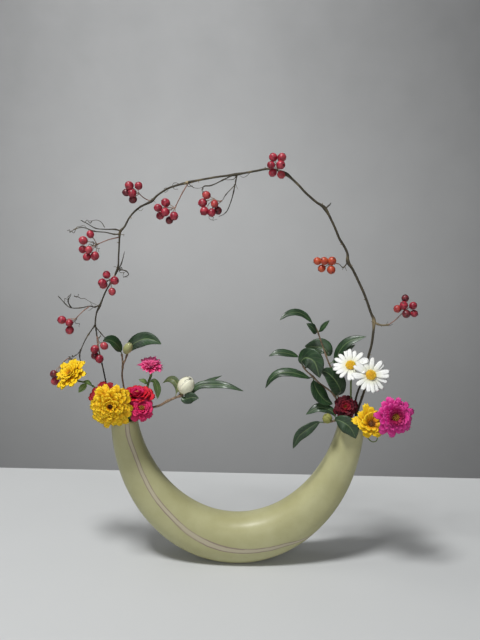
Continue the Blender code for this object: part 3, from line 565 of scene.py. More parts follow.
vineCurls = [  # start, far end, loop radius, turns
    ((-133, 3, 346), (-125, -4, 336), 2.6, 2.2),
    ((-134, 3, 345), (-129, -3, 347), 2.0, 1.6),
    ((-135, 2, 344), (-139, -6, 350), 1.8, 1.4),
    ((-133.4, 0.4, 388), (-127, -4, 382), 2.2, 1.5),
    ((-157, -7, 373), (-163, -10, 377), 2.6, 2.4),
    ((-157, -7, 373), (-153, -11, 366), 2.2, 1.8),
    ((-158, -7, 374), (-171, -9, 371), 1.8, 1.6),
    ((-163, -3, 398), (-175, -5, 398), 2.0, 2.0),
    ((-185, -6, 387), (-189, -7, 388.5), 1.5, 1.6),
    ((-191, -3, 313), (-196, -4, 308), 1.8, 1.5),
    ((-184, 0, 313), (-178, -2, 316), 1.6, 1.4),
    ((-183, -1, 288), (-177, -4, 280), 2.4, 1.7),
    ((-191, 3, 242), (-184, -2, 247), 2.2, 2.0),
    ((-190, 3, 241), (-194, -2, 236), 1.8, 1.5),
    ((-34, -4, 410), (-30, -7, 402), 1.9, 1.8),
    ((-44, 2, 435), (-39, -2, 431), 1.7, 1.6),
    ((-62, 5, 440), (-52, -1, 436), 1.6, 1.6),
    ((-76, 3, 437), (-70, 0, 433), 1.5, 1.3),
]
# shares along the main stem
thornPlaces = [0.06, 0.12, 0.19, 0.27, 0.33, 0.4, 0.47, 0.55, 0.6, 0.68, 0.75, 0.8, 0.87, 0.93]
sheathRoute = [(-64, 6, 439.2), (-61, 6, 440.5), (-58, 6, 441.2), (-55, 6, 441.4)]
sheathKnot = (-60, 6, 440.8)


def curled(start, end, loop, turns):  # a tendril that winds up towards its tip
    start, end = Vector(start), Vector(end)
    along = (end - start).normalized()
    across = along.cross(Vector(curlLook["level"])).normalized()
    over = along.cross(across)
    count = math.ceil(turns * curlLook["pointsPerTurn"])
    route = []
    for i in range(count + 1):
        share = i / count
        turn = share * turns * 2 * math.pi
        wound = across * math.sin(turn) + over * (1 - math.cos(turn))
        route.append(start.lerp(end, share) + wound * loop * (1 - curlLook["shrink"] * share))
    return route


def thornPath(main, radii, share, k):  # short and hooked, on alternate sides
    look = thornLook
    i = int(share * (len(main) - 2))
    ahead = (main[i + 1] - main[i]).normalized()
    side = ahead.cross(Vector((0, 1, 0))).normalized() * (1 if k % 2 else -1)
    side = (side + Vector((0, look["forward"] if k % 3 else look["backward"], 0))).normalized()
    start = main[i] + side * radii[i] * look["sunk"]
    tip = start + side * look["reach"] * mm + ahead * look["hook"] * mm
    route = [start, start + side * look["length"] * mm, tip]
    return route, [radius * mm for radius in look["radii"]], look["tone"]


def buildVine():
    look = vineLook
    main = smoothRoute(planted(1, look["around"], look["foot"], vineRoute), 5)
    mainRadii = tapered(main, look["foot"], look["tip"], False)
    mainRadii = swollen(main, mainRadii, vineNodes, *look["nodes"])
    pale = Vector(stoutTwig[0]) * mm  # the one pale node
    away = [(point - pale).length / (look["paleReach"] * mm) for point in main]
    tones = [look["darkTone"] + look["paleTone"] * math.exp(-share ** 2) for share in away]
    paths = [(main, mainRadii, tones)]
    stout = smoothRoute(stoutTwig, 6)
    radii = tapered(stout, look["stout"], look["stout"], False)
    knots = [stoutTwig[1], stoutTwig[3]]
    paths.append((stout, swollen(stout, radii, knots, *look["stoutKnots"]), look["stoutTone"]))
    foot = smoothRoute(vineLeftFoot + planted(-1, look["leftAround"], look["leftFoot"], [])[::-1], 5)
    paths.append((foot, tapered(foot, look["leftFoot"], look["leftFoot"]), 0.0))
    for points in vineTwigs:
        route = smoothRoute(points, 5)
        radii = tapered(route, look["twig"], look["twig"] * look["thinning"])
        knots = points[1:-1:2] + points[:1]
        paths.append((route, swollen(route, radii, knots, *look["twigKnots"]), look["twigTone"]))
    for points in vineTendrils + [curled(*curl) for curl in vineCurls]:
        route = smoothRoute(points, 6 if len(points) < 10 else 3)
        radii = tapered(route, look["tendril"], look["tendril"] * look["thinning"])
        paths.append((route, radii, look["darkTone"]))
    paths += [thornPath(main, mainRadii, share, k) for k, share in enumerate(thornPlaces)]
    sheath = smoothRoute(sheathRoute, 4)  # a dry scale that wraps one node
    radii = tapered(sheath, look["sheath"], look["sheath"], False)
    paths.append((sheath, swollen(sheath, radii, [sheathKnot], *look["sheathKnot"]), 1.0))
    piece = grow("vine_and_twigs", stems, barks["vineBark"], strands("vine", paths), sides=10)
    finished(piece, "vine_bark", "vine")


buildVine()
print("vine made")


# berries: vine point, umbel centre, then each berry's place and how ripe it is,
# from 0 for crimson through 0.5 for orange-red to 1 for nearly black
clusters = {
    "berries_top": ((36, -6, 457), (35, -14, 463), [
        (31, -16, 471, 0.1), (40, -16, 471, 0.0), (29, -18, 463, 0.05), (39, -20, 463.5, 0.1),
        (31, -15, 455, 0.0), (40, -14, 453, 0.15)]),
    "berries_right": ((166, 0, 289), (183, 0, 306), [
        (182, -2, 320, 0.8), (180, -7, 313, 0.12), (174, -3, 308, 0.24), (191, -3, 312, 0.1),
        (183, -9, 304, 0.8), (193, -2, 303, 0.15)]),
    "berries_middle_right": ((107, -3, 357), (96, -4, 356), [
        (83, -6, 360, 0.5), (90, -10, 361, 0.55), (98.5, -9, 361, 0.45), (88, -6, 352, 0.5),
        (98, -10, 351.5, 0.5)]),
    "berries_left_1": ((-99, 3, 420), (-112, 0, 428), [
        (-122, -4, 437, 0.1), (-126, 1, 429, 0.8), (-119, -5, 429, 0.1), (-119, 3, 421.5, 0.85),
        (-112, -4, 437, 0.05)]),
    "berries_left_2": ((-59, 6, 441), (-73, -2, 414), [
        (-83, -3, 419.5, 0.0), (-91, -5, 414, 0.1), (-89, 0, 405, 0.05), (-83, -9, 410, 0.0),
        (-79, -2, 400.5, 0.8), (-73.5, -9, 406, 0.1)]),
    "berries_left_3": ((-22, -5, 423), (-31, -6, 425), [
        (-39, -7, 429, 0.2), (-43, -5, 420.5, 0.1), (-30, -10, 420, 0.22), (-41, -8, 412, 0.1),
        (-33, -12, 411, 0.1), (-26.5, -5, 412.5, 0.8)]),
    "berries_left_4": ((-133.4, 0.4, 380.5), (-157, -7, 373), [
        (-164, -8, 384, 0.05), (-172, -7, 377, 0.1), (-173, -5, 367, 0.0), (-168, -9, 359.5, 0.1),
        (-159, -11, 361, 0.1), (-165, -14, 368, 0.0)]),
    "berries_left_5": ((-139.6, 3.4, 338.2), (-145, -3, 333), [
        (-147, -8, 340, 0.1), (-151, -5, 328, 0.2), (-138, -10, 334, 0.0), (-141, -9, 321.5, 0.1),
        (-151, -13, 332, 0.0)]),
    "berries_left_6": ((-168, 2, 302), (-183, -1, 288), [
        (-198, -4, 287, 0.1), (-189.5, -5, 284, 0.16), (-190, -2, 275, 0.05)]),
    "berries_left_7": ((-161, 6, 267), (-158.6, 0.4, 261), [
        (-162, -4, 254, 0.1), (-152, 0, 257, 0.0), (-163, 2, 245, 0.8), (-157, -4, 243, 0.1)]),
    "berries_left_8": ((-191, 3, 242), (-204, 9, 230), [
        (-211.5, 9, 220, 0.9), (-211, 12, 210.5, 0.1), (-205, 15, 215, 0.15)]),
}
berryLook = {
    "radius": 4.45, "spread": 0.07,
    "mainStalk": (0.7, 0.5), "mainKnot": (0.8, 1.5), "stalk": 0.42, "stalkKnot": (0.9, 1.2),
    "bow": 0.6, "sag": 1.2, "stray": 0.7,  # how far stalks bend off the straight way
    "mainTone": 0.1, "stalkTone": 0.25, "topTone": 0.9, "sunk": 0.85,
    "crimson": ((120, 18, 38), (182, 56, 72)), "orange": ((166, 54, 34), (188, 86, 50)),
    # the pale pink is partly the berries' own tint and partly a painted highlight
    "dark": ((70, 20, 30), (128, 46, 52)), "pinkTintAndHighlight": (196, 86, 90), "tip": (48, 28, 22),
    "base": (150, 110, 70),
}
berryShape = {"segments": 22, "rings": 14, "stretch": 1.06, "nub": 0.09, "dent": 0.14, "narrow": 90.0}


def berryTree():  # a ball with a nub at its tip on each point
    graph, given = newTree("berries", **berryShape)
    ball = graph.node("GeometryNodeMeshUVSphere", [given.segments, given.rings, 1.0])
    x, y, z = graph.position()
    ball = graph.store(ball, "pole", z)
    tip = ((x * x + y * y) * -given.narrow).exp()
    rise = z * given.stretch + tip * given.nub * (z > 0) + tip * given.dent * (z < 0)
    ball = graph.moved(ball, graph.vector(x, y, rise))
    turn = graph.turnTo(graph.named("axis", "FLOAT_VECTOR"))
    fruit = graph.node("GeometryNodeInstanceOnPoints",
                       {0: given.Geometry, 2: ball, 5: turn, 6: graph.named("size")})
    return endTree(graph, fruit, given)


def berryMaterial():
    look = berryLook
    made, graph, shader = newMaterial("berrySkin", Coat_Roughness=0.2, Specular_IOR_Level=0.4)
    place = graph.place()
    tone, pole = graph.value("tone"), graph.value("pole")
    blush = graph.noise(place, 260.0, 3.0)
    speck = graph.noise(place, 1600.0)
    pinkTintAndHighlight = graph.noise(place, 55.0)  # paler, pinker patches here and there: partly the berries' own tint, partly a painted highlight
    crimson = graph.mix(blush.ramp(0.35, 0.7), *look["crimson"])
    crimson = graph.mix(pinkTintAndHighlight.ramp(0.45, 0.65) * 0.4, crimson, look["pinkTintAndHighlight"])
    orange = graph.mix(blush.ramp(0.3, 0.7), *look["orange"])
    dark = graph.mix(blush.ramp(0.35, 0.7), *look["dark"])
    colour = graph.mix((tone + (blush - 0.5) * 0.25).ramp(0.12, 0.42), crimson, orange)
    colour = graph.mix((tone + (blush - 0.5) * 0.3).ramp(0.58, 0.75), colour, dark)
    colour = graph.mix(pole.ramp(0.955, 0.99), colour, look["tip"])
    colour = graph.mix((-pole).ramp(0.93, 0.99), colour, look["base"])
    graph.feed(shader, {"Base Color": colour, "Roughness": 0.3 + 0.2 * blush,
                        "Coat Weight": 0.1 + 0.2 * speck,
                        "Normal": graph.bump(speck, 0.12, 0.0002)})
    return made


def clusterMesh(name, k, hub, berries):  # a point for each berry
    centres = [Vector(berry[:3]) for berry in berries]
    mesh = bpy.data.meshes.new(name)
    mesh.from_pydata([centre * mm for centre in centres], [], [])
    uneven = [1 + berryLook["spread"] * math.sin(k * 5 + i * 2.4) for i in range(len(berries))]
    setValues(mesh, size=[berryLook["radius"] * mm * size for size in uneven],
              tone=[berry[3] for berry in berries])
    axes = [part for centre in centres for part in (centre - hub).normalized()]
    mesh.attributes.new("axis", "FLOAT_VECTOR", "POINT").data.foreach_set("vector", axes)
    return mesh


def clusterStalks(name, k, anchor, hub, berries):
    look = berryLook
    bend = Vector((0, -look["bow"], -look["sag"] if k % 2 else look["sag"]))
    main = smoothRoute([anchor, anchor.lerp(hub, 0.5) + bend, hub], 4)
    radii = tapered(main, *look["mainStalk"], False)
    paths = [(main, swollen(main, radii, [hub], *look["mainKnot"]), look["mainTone"])]
    tone = look["topTone"] if name == "berries_top" else look["stalkTone"]
    for i, berry in enumerate(berries):
        centre = Vector(berry[:3])
        stray = Vector((math.sin(i * 2.1 + k), math.cos(i * 1.7), 0.8)) * look["stray"]
        middle = hub.lerp(centre, 0.5) + stray
        end = centre + (hub - centre).normalized() * look["radius"] * look["sunk"]
        route = smoothRoute([hub, middle, end], 4)
        radii = tapered(route, look["stalk"], look["stalk"], False)
        paths.append((route, swollen(route, radii, [end], *look["stalkKnot"]), tone))
    return paths


def buildBerries():
    tree, skin = berryTree(), berryMaterial()
    stalks = []
    for k, (name, (anchor, hub, berries)) in enumerate(clusters.items()):
        anchor, hub = Vector(anchor), Vector(hub)
        piece = grow(f"{name}_fruit", tree, skin, clusterMesh(name, k, hub, berries))
        finished(piece, "berry_skin", name)
        stalks += clusterStalks(name, k, anchor, hub, berries)
    piece = grow("berry_stalks", stems, barks["berryStalk"], strands("berry_stalks", stalks), sides=6)
    finished(piece, "berry_skin")


buildBerries()
print("berries made")


# leaves: a blade along its midrib
def unitBlade(graph, columns, rows):  # two sheets back to back, joined at the rim
    sheets = []
    for side in (1.0, -1.0):
        sheet = graph.node("GeometryNodeMeshGrid", [2.0, 1.0, columns, rows])
        x, y, z = graph.position()
        sheet = graph.store(sheet, "across", x)
        sheet = graph.store(sheet, "along", y + 0.5)
        fat = (1 - x ** 4) * (1 - (y * 2) ** 8)
        sheet = graph.store(sheet, "side", fat * side)
        sheet = graph.moved(sheet, None, graph.vector(0.0, 0.0, fat * side * 0.1))
        if side < 0:
            sheet = graph.node("GeometryNodeFlipFaces", [sheet])
        sheets.append(sheet)
    return graph.merged(graph.join(*sheets), 0.001)


leafDefaults = {
    "width": 12.0, "fold": 0.22, "recurve": 0.12, "wave": 0.9, "teeth": 0.035, "teethCount": 26.0,
    "thickness": 0.55, "groove": 0.22, "stalk": 0.1, "stalkWidth": 1.3, "shape": 0.92, "fullness": 0.86,
    "seed": 0.0, "facing": (0.0, 0.0, 1.0),
}


def leafTree():
    graph, given = newTree("leafBlade", **leafDefaults)
    blade = unitBlade(graph, 13, 65)
    curve = graph.node("GeometryNodeMeshToCurve", [given.Geometry])
    across, along, side = graph.named("across"), graph.named("along"), graph.named("side")
    midrib = graph.node("GeometryNodeSampleCurve", {0: curve, 2: along}, mode="FACTOR", use_all_curves=True)
    centre, ahead = midrib.out(1), midrib.out(2)
    sideways = graph.vectorMath("NORMALIZE", graph.vectorMath("CROSS_PRODUCT", ahead, given.facing))
    upward = graph.vectorMath("CROSS_PRODUCT", sideways, ahead)
    share = ((along - given.stalk) / (1 - given.stalk)).atLeast(0)  # along the blade proper
    outline = ((share ** given.shape) * math.pi).sin().atLeast(0) ** given.fullness
    teeth = 1 - given.teeth * (along * given.teethCount).fraction() * share.ramp(0.08, 0.2)
    half = (given.stalkWidth * 0.5 * (1 - along * 0.85)
            + (given.width - given.stalkWidth) * 0.5 * outline * teeth)
    edge = abs(across)
    spot = graph.vector(across * 0.9 + given.seed, along * 3.2, given.seed)
    drift = graph.noise(spot, 1.0) - 0.5
    lift = (half * (edge * given.fold - edge * edge * given.recurve)
            + drift * given.wave * edge * share.ramp(0, 0.2) * 2
            - (1 - edge.ramp(0, 0.16)) * given.groove * side + side * given.thickness * 0.5)
    place = graph.vectorMath("ADD", centre, graph.scaled(sideways, across * half * mm))
    place = graph.vectorMath("ADD", place, graph.scaled(upward, lift * mm))
    return endTree(graph, graph.moved(blade, place), given)


def leafMaterial(name, deep, mid, vein, under, gloss):
    made, graph, shader = newMaterial(name, Coat_Roughness=0.26, Specular_IOR_Level=0.5)
    across, along, side = graph.value("across"), graph.value("along"), graph.value("side")
    place = graph.place()
    cloud = graph.noise(place, 90.0, 3.0, 0.6)
    fine = graph.noise(place, 900.0)
    edge = abs(across)
    veinCount, veinSlant = 11, 1.9
    ribs = (along * veinCount - edge * veinSlant + (cloud - 0.5) * 0.5).fraction()
    ribs = abs((ribs - 0.5) * 2)
    sideVein = (1 - ribs.ramp(0.0, 0.16)) * (1 - edge.ramp(0.7, 0.95))
    midVein = 1 - edge.ramp(0.03, 0.09)
    colour = graph.mix(cloud.ramp(0.3, 0.7), deep, mid)
    colour = graph.mix(sideVein * 0.28, colour, vein)
    colour = graph.mix(midVein * 0.75, colour, vein)
    colour = graph.mix(edge.ramp(0.93, 1.0) * 0.35, colour, vein)
    below = (-side).ramp(0.02, 0.3)
    colour = graph.mix(below, colour, graph.mix(sideVein * 0.3 + midVein * 0.6, under, vein))
    colour = graph.mix((1 - along.ramp(0.06, 0.14)) * 0.6, colour, vein)
    relief = sideVein * -0.5 + midVein * -0.4 + fine * 0.12 + cloud * 0.5
    graph.feed(shader, {"Base Color": colour,
                        "Roughness": gloss + 0.12 * fine + below * 0.3,
                        "Coat Weight": (1 - below) * 0.2,
                        "Normal": graph.bump(relief, 0.5, 0.0005)})
    return made


leafLooks = {  # deep, mid, vein and under colours, gloss
    "camelliaLeaf": ((24, 46, 26), (44, 74, 40), (104, 124, 80), (96, 116, 80), 0.36),
    "youngLeaf": ((78, 116, 54), (120, 152, 82), (170, 188, 124), (120, 140, 86), 0.4),
    "oliveLeaf": ((62, 78, 42), (96, 108, 64), (156, 158, 108), (118, 126, 86), 0.5),
}
leafSkins = {name: leafMaterial(name, *look) for name, look in leafLooks.items()}
leafBlade = leafTree()
leaves = {  # midrib, width, the upper side's direction
    "upright_sprig_leaf_left": (
        [(-133, 6, 246), (-135, 2, 254), (-139, -5, 262), (-145, -11, 267), (-151, -16, 267)],
        17, (0.2, -0.7, 0.65)),
    "upright_sprig_leaf_right": (
        [(-129, 6, 242), (-126, 10, 250), (-119, 12, 258), (-108, 12, 263), (-98, 9, 263), (-88, 6, 259)],
        18, (-0.25, -0.85, 0.4)),
    "bud_branch_leaf_olive": (
        [(-71, -8, 202), (-69, -3, 211), (-73, 1, 218), (-80, 5, 218), (-87, 9, 212)],
        10, (-0.5, -0.5, 0.7)),
    "bud_branch_leaf_under": (
        [(-64, -8, 203.5), (-60, -13, 201), (-52, -16, 204), (-44, -18, 204)], 14, (0.35, -0.9, 0.25)),
    "bud_branch_leaf_long": (
        [(-64, -8, 203.5), (-57, 0, 201), (-46, 4, 211), (-31, 2, 214), (-14, -4, 215), (6, -8, 210)],
        11, (0, -0.75, 0.65)),
    "bud_branch_leaf_back": (
        [(-70, -8, 201), (-64, 4, 202), (-50, 11, 207), (-35, 13, 214), (-19, 11, 222)],
        9, (0, -0.5, 0.85)),
    "tall_sprig_leaf_arched": (
        [(84, 8, 284), (78, 7, 291), (71, 6, 297), (62, 4, 300), (52, 1, 298), (44, -3, 292)],
        10, (0.1, -0.7, 0.7)),
    "tall_sprig_leaf_broad": (
        [(98.5, 8, 247), (101, 14, 250), (97, 18, 255), (88, 20, 256), (75, 19, 257)],
        22, (0.1, -0.9, 0.35)),
    "tall_sprig_leaf_right": (
        [(105, 9, 234), (109, 5, 242), (113, 3, 256), (123, 2, 268), (142, 0, 275)],
        14, (-0.6, -0.6, 0.4)),
    "tall_sprig_leaf_behind": (
        [(103, 8, 240), (112, 9, 245), (118, 8, 251), (124, 8, 258), (131, 8, 263)],
        10, (-0.5, -0.7, 0.3)),
    "leaning_sprig_leaf_twisted": (
        [(68, -2, 248), (64, -5, 252), (54, -7, 255), (43, -8, 256), (33, -9, 252)],
        11, (0.2, -0.6, 0.75)),
    "leaning_sprig_leaf_broad": (
        [(73, -2, 238), (70, -6, 246), (75, -12, 252), (84, -16, 248), (90, -19, 231)],
        25, (-0.5, -0.75, 0.35)),
    "leaning_sprig_leaf_long": (
        [(84, -2, 227), (79, -9, 228), (70, -13, 232), (58, -14, 235), (45, -14, 234), (36, -14, 227),
         (30, -14, 216)], 13, (0, -0.6, 0.8)),
    "leaning_sprig_leaf_glossy": (
        [(111, 1, 203), (115, -8, 212), (109, -13, 225), (100, -15, 235), (90, -15, 239)],
        25, (0.4, -0.85, 0.4)),
    "leaning_sprig_leaf_low": (
        [(84, -2, 227), (86, -7, 218), (92, -9, 208), (99, -9, 201), (107, -8, 197)],
        20, (0.3, -0.75, 0.6)),
    "low_sprig_leaf_upper": (
        [(111, -16, 181), (108, -13, 188), (101, -11, 192), (90, -10, 193), (77, -11, 185)],
        13, (0, -0.65, 0.75)),
    "low_sprig_leaf_lower": (
        [(97, -16, 178), (90, -18, 178), (79, -20, 171), (69, -21, 162), (63, -22, 148)],
        14, (0.3, -0.9, 0.3)),
    "low_sprig_leaf_front": (
        [(107, -16, 180), (112, -21, 183), (121, -25, 180), (128, -25, 173), (133, -23, 162)],
        20, (-0.2, -0.97, 0.2)),
}
tipLeaves = [  # young leaves at the tall sprig's tip
    ([(88, 8, 277), (84, 2, 280), (80, -2, 285), (74, -3, 289)], 11, (0.6, -0.7, 0.3)),
    ([(88, 8, 277), (91, 5, 280), (95, 3, 286), (100, 2, 292)], 8, (-0.6, -0.6, 0.4)),
]


def growLeaf(name, points, width, facing, skin, seed, **changes):
    route = smoothRoute(points, 6)
    midrib = strands(name, [(route, [0.0] * len(route), 0.0)])
    return grow(name, leafBlade, leafSkins[skin], midrib, width=width, facing=facing, seed=seed, **changes)


for k, (node, (points, width, facing)) in enumerate(leaves.items()):
    skin = "oliveLeaf" if node == "bud_branch_leaf_olive" else "camelliaLeaf"
    finished(growLeaf(f"{node}_blade", points, width, facing, skin, k * 3.7), "leaf_green", node)
print("leaves made")


# woody sprigs: arm, place round it, route, radii at foot and end, knots
sprigs = {
    "upright_sprig": (-1, 270,
        [(-131, 8, 192), (-131, 7, 204), (-133, 6, 220), (-132, 6, 234), (-133, 6, 246)],
        (1.1, 0.95), [(-133, 6, 246), (-132, 6, 232)]),
    "bud_branch": (-1, 182,
        [(-113, 2, 179), (-104, 2, 183), (-96, 0, 186), (-88, -4, 190), (-80, -7, 196), (-70, -8, 201),
         (-64, -8, 203.5), (-62.5, -7.3, 207)],
        (1.45, 1.3), [(-80, -7, 196), (-64, -8, 203.5), (-104, 2, 183)]),
    "tall_sprig": (1, 240,
        [(118, 12, 190), (112, 12, 210), (105, 9, 234), (101, 8, 243), (96, 8, 256), (92, 8, 266),
         (88, 8, 277), (84, 8, 284)],
        (1.15, 0.75), [(105, 9, 234), (98.5, 8, 249.5), (88, 8, 277)]),
    "leaning_sprig": (1, 195,
        [(118, 4, 186), (109, 1, 205), (99, -1, 214), (91, -2, 220), (84, -2, 227), (77, -2, 233),
         (73, -2, 238), (68, -2, 248)],
        (1.15, 0.85), [(109, 1, 205), (84, -2, 227), (73, -2, 238)]),
    "low_sprig": (1, 152,
        [(117, -12, 180), (111, -16, 181), (104, -17, 179), (97, -16, 178)],
        (1.4, 1.1), [(111, -16, 181)]),
}
spurs = {  # route, steps between points, radii, knots
    "upright_sprig": ([(-132.2, 6, 233), (-129, 6, 240), (-127, 5, 246), (-126.6, 4.6, 247.5)], 4,
                      (1.0, 0.9), [(-127, 5, 246)]),
    "low_sprig": ([(104, -17, 179), (103.4, -18.6, 180), (102.6, -19.4, 181.4)], 3, (1.1, 1.4), []),
}
sprigRoot, sprigKnots = 1.4, (0.45, 2.5)  # radius in the arm; how its knots swell


def stalkPath(route, first, last, knots=()):
    radii = tapered(route, first, last, False)
    return route, swollen(route, radii, knots, *sprigKnots) if knots else radii, 0.0


def stalkPiece(name, bark, slot, node, paths, blades=()):  # a stem in one piece with its small leaves
    piece = grow(name, stems, barks[bark], strands(name, paths), sides=12)
    if blades:
        parts = [piece, *blades]
        with bpy.context.temp_override(active_object=piece, selected_editable_objects=parts):
            bpy.ops.object.join()
        piece.name = name
    finished(piece, slot, node)


def buildSprigs():
    for name, (side, around, points, radii, knots) in sprigs.items():
        route = smoothRoute(planted(side, around, sprigRoot, points), 4)
        paths = [stalkPath(route, *radii, knots)]
        if name in spurs:
            points, steps, radii, knots = spurs[name]
            paths.append(stalkPath(smoothRoute(points, steps), *radii, knots))
        blades = [growLeaf(f"tip_leaf_{k}", *blade, "camelliaLeaf", 71 + k)
                  for k, blade in enumerate(tipLeaves if name == "tall_sprig" else [])]
        stalkPiece(f"{name}_wood", "sprigBark", "sprig_bark", f"{name}_stem", paths, blades)


buildSprigs()
print("sprigs made")


# flowers: petals in a spiral round a facing direction, each bent along an arc
# pairs are for the innermost and the outermost petal, lengths in millimetres, angles in radians
petalDefaults = {
    "petals": 40, "seed": 1, "turn": goldenTurn, "length": (8.0, 16.0), "width": (6.0, 10.0),
    "tilt": (0.4, 1.5), "curl": (0.2, 0.4), "radius": (2.0, 6.0), "height": (2.0, -2.0),
    "base": 0.35, "peak": 0.65, "blunt": 4.0, "taper": 0.3, "round": 0.2, "teeth": 0.03, "cup": 0.15,
    "ruffle": 1.0, "frill": 1.6, "groove": 0.05, "scatter": 0.15, "thickness": 0.4, "wrap": 0.0,
    "lean": (0.0, 0.0), "facing": (0.0, 0.0, 1.0), "centre": (0.0, 0.0),
}


def petalTree():
    graph, given = newTree("petals", **petalDefaults)
    blade = unitBlade(graph, 7, 9)
    spots = graph.node("GeometryNodePoints", [given.petals])
    seed, scatter = given.seed, given.scatter
    ring = graph.index() / (given.petals - 1).atLeast(1)
    spots = graph.store(spots, "ring", ring)
    angle = graph.index() * given.turn + graph.chance(-1.0, 1.0, seed) * scatter
    spots = graph.store(spots, "angle", angle)
    spots = graph.store(spots, "stretch", 1 + graph.chance(-1.0, 1.0, seed + 1) * scatter * 0.35)
    spots = graph.store(spots, "lift", graph.chance(-1.0, 1.0, seed + 2) * scatter)
    spots = graph.store(spots, "tone", graph.chance(0.0, 1.0, seed + 3))
    crown = graph.node("GeometryNodeInstanceOnPoints", {0: spots, 2: blade})
    crown = graph.node("GeometryNodeRealizeInstances", [crown])
    u, v, side = graph.named("across"), graph.named("along"), graph.named("side")
    ring, angle, tone = graph.named("ring"), graph.named("angle"), graph.named("tone")

    def between(pair):  # from the innermost petal to the outermost
        first, last, unused = graph.split(pair)
        return first + (last - first) * ring

    outX, outY = angle.cos(), angle.sin()
    leanX, leanY, droop = graph.split(given.lean)
    towards = leanX * outX + leanY * outY
    length = between(given.length) * graph.named("stretch") * (1 + towards)
    tilt = between(given.tilt) + graph.named("lift") + droop * towards
    curl = between(given.curl) + 0.001 + (tone - 0.5) * scatter
    scallop = (u * 9 + tone * 40).sin() * given.teeth
    corner = 1 - (1 - u * u).atLeast(0) ** 0.5
    reach = v * (1 - (corner * given.round + scallop) * v * v)
    bend = tilt + curl * reach
    rho = between(given.radius) + (tilt.cos() - bend.cos()) * length / curl
    rise = between(given.height) + (bend.sin() - tilt.sin()) * length / curl
    swell = ((v / given.peak).atMost(1) * (math.pi / 2)).sin()
    end = (1 - v ** given.blunt * given.taper).atLeast(0.0) ** 0.5
    spread = (given.base + (1 - given.base) * swell) * end.atLeast(0.06)
    half = between(given.width) * 0.5 * spread
    spot = graph.vector(u * given.frill + tone * 37, v * 1.6, tone * 91 + ring * 7)
    ripple = graph.noise(spot, 1.0, 1.0) - 0.5
    lift = (given.cup * u * u * half + ripple * given.ruffle * 2 * v * v
            - (u * 11).cos() * given.groove * half * (1 - v ** 6) + side * given.thickness * 0.5)
    rho = rho - bend.cos() * lift
    rise = rise + bend.sin() * lift
    wrapped = angle + given.wrap * u * spread
    x = rho * wrapped.cos() - half * u * outY
    y = rho * wrapped.sin() + half * u * outX
    return endTree(graph, graph.moved(crown, graph.turned(graph.vector(x, y, rise), given)), given)


floretDefaults = {
    "florets": 40, "seed": 3, "radius": 4.0, "height": 3.0, "size": 1.0, "long": 2.4, "flare": 0.45,
    "rise": 0.0, "facing": (0.0, 0.0, 1.0), "centre": (0.0, 0.0),
}


def floretTree():  # small cups packed on a dome
    graph, given = newTree("florets", **floretDefaults)
    radius, height = given.radius, given.height
    cup = graph.node("GeometryNodeMeshCone", [6, 2, 1, given.flare, given.flare * 0.5, 1.0])
    x, y, z = graph.position()
    cup = graph.store(cup, "along", z)
    hollow = (z > 0.99) * (1 - (x * x + y * y).sqrt().ramp(0, 0.3))
    cup = graph.moved(cup, None, graph.vector(0.0, 0.0, -0.18 * hollow))
    spots = graph.node("GeometryNodePoints", [given.florets])
    share = (graph.index() + 0.5) / given.florets
    angle = graph.index() * goldenTurn
    reach = share ** 0.5
    dome = (1 - share).atLeast(0) ** 0.6
    spots = graph.moved(spots, graph.vector(angle.cos() * reach * radius, angle.sin() * reach * radius,
                                            dome * height + given.rise))
    spots = graph.store(spots, "ring", share)
    spots = graph.store(spots, "tone", graph.chance(0.0, 1.0, given.seed))
    tip = graph.vector(angle.cos() * reach * 0.8, angle.sin() * reach * 0.8, 1.1 - reach * 0.5)
    grown = given.size * (1 + graph.chance(-0.18, 0.18, given.seed + 1))
    size = graph.vector(grown, grown, grown * given.long)
    field = graph.node("GeometryNodeInstanceOnPoints",
                       {0: spots, 2: cup, 5: graph.turnTo(tip), 6: size})
    field = graph.node("GeometryNodeRealizeInstances", [field])
    core = graph.node("GeometryNodeMeshUVSphere", [16, 9, 1.0])
    core = graph.store(core, "along", -0.4)
    core = graph.moved(core, graph.vector(x * radius, y * radius, z * height * 0.9 + given.rise))
    place = graph.turned(graph.node("GeometryNodeInputPosition"), given)
    return endTree(graph, graph.moved(graph.join(field, core), place), given)


petalCrown, floretDome = petalTree(), floretTree()


def petalMaterial(name, heart, main, rim, under, streak=None, streakAmount=0.0, inner=None,
                  shine=0.5, blush=0.6):
    made, graph, shader = newMaterial(name, Specular_IOR_Level=0.3)
    across, along, side = graph.value("across"), graph.value("along"), graph.value("side")
    ring, tone = graph.value("ring"), graph.value("tone")
    cloud = graph.noise(graph.place(), 150.0, 3.0)
    edge = abs(across)
    fibres = graph.noise(graph.vector(across * 7 + tone * 31, along * 0.9, tone * 17), 1.6, 3.0, 0.6)
    # the heart colour reaches out to the share blush along each petal; on the yellow zinnia this orange is
    # partly painted shade between the petals
    colour = graph.mix(along.ramp(blush - 0.5, blush) * 0.85 + cloud * 0.15, heart, main)
    colour = graph.mix((along.ramp(blush, 1.05) * 0.7 + edge.ramp(0.6, 1.0) * 0.4).atMost(1), colour, rim)
    if inner:
        colour = graph.mix(1 - ring.ramp(0.05, 0.55), colour, inner)
    if streak:
        amount = fibres.ramp(0.5, 0.7) * (1 - along.ramp(blush - 0.15, 1.0)) * streakAmount
        colour = graph.mix(amount, colour, streak)
    colour = graph.mix(tone * 0.16, colour, heart)
    below = (-side).ramp(0.02, 0.35)
    colour = graph.mix(below * 0.8, colour, under)
    graph.feed(shader, {"Base Color": colour, "Roughness": shine + 0.15 * fibres,
                        "Normal": graph.bump(fibres + (across * 24).sin() * 0.25, 0.45, 0.0004)})
    return made


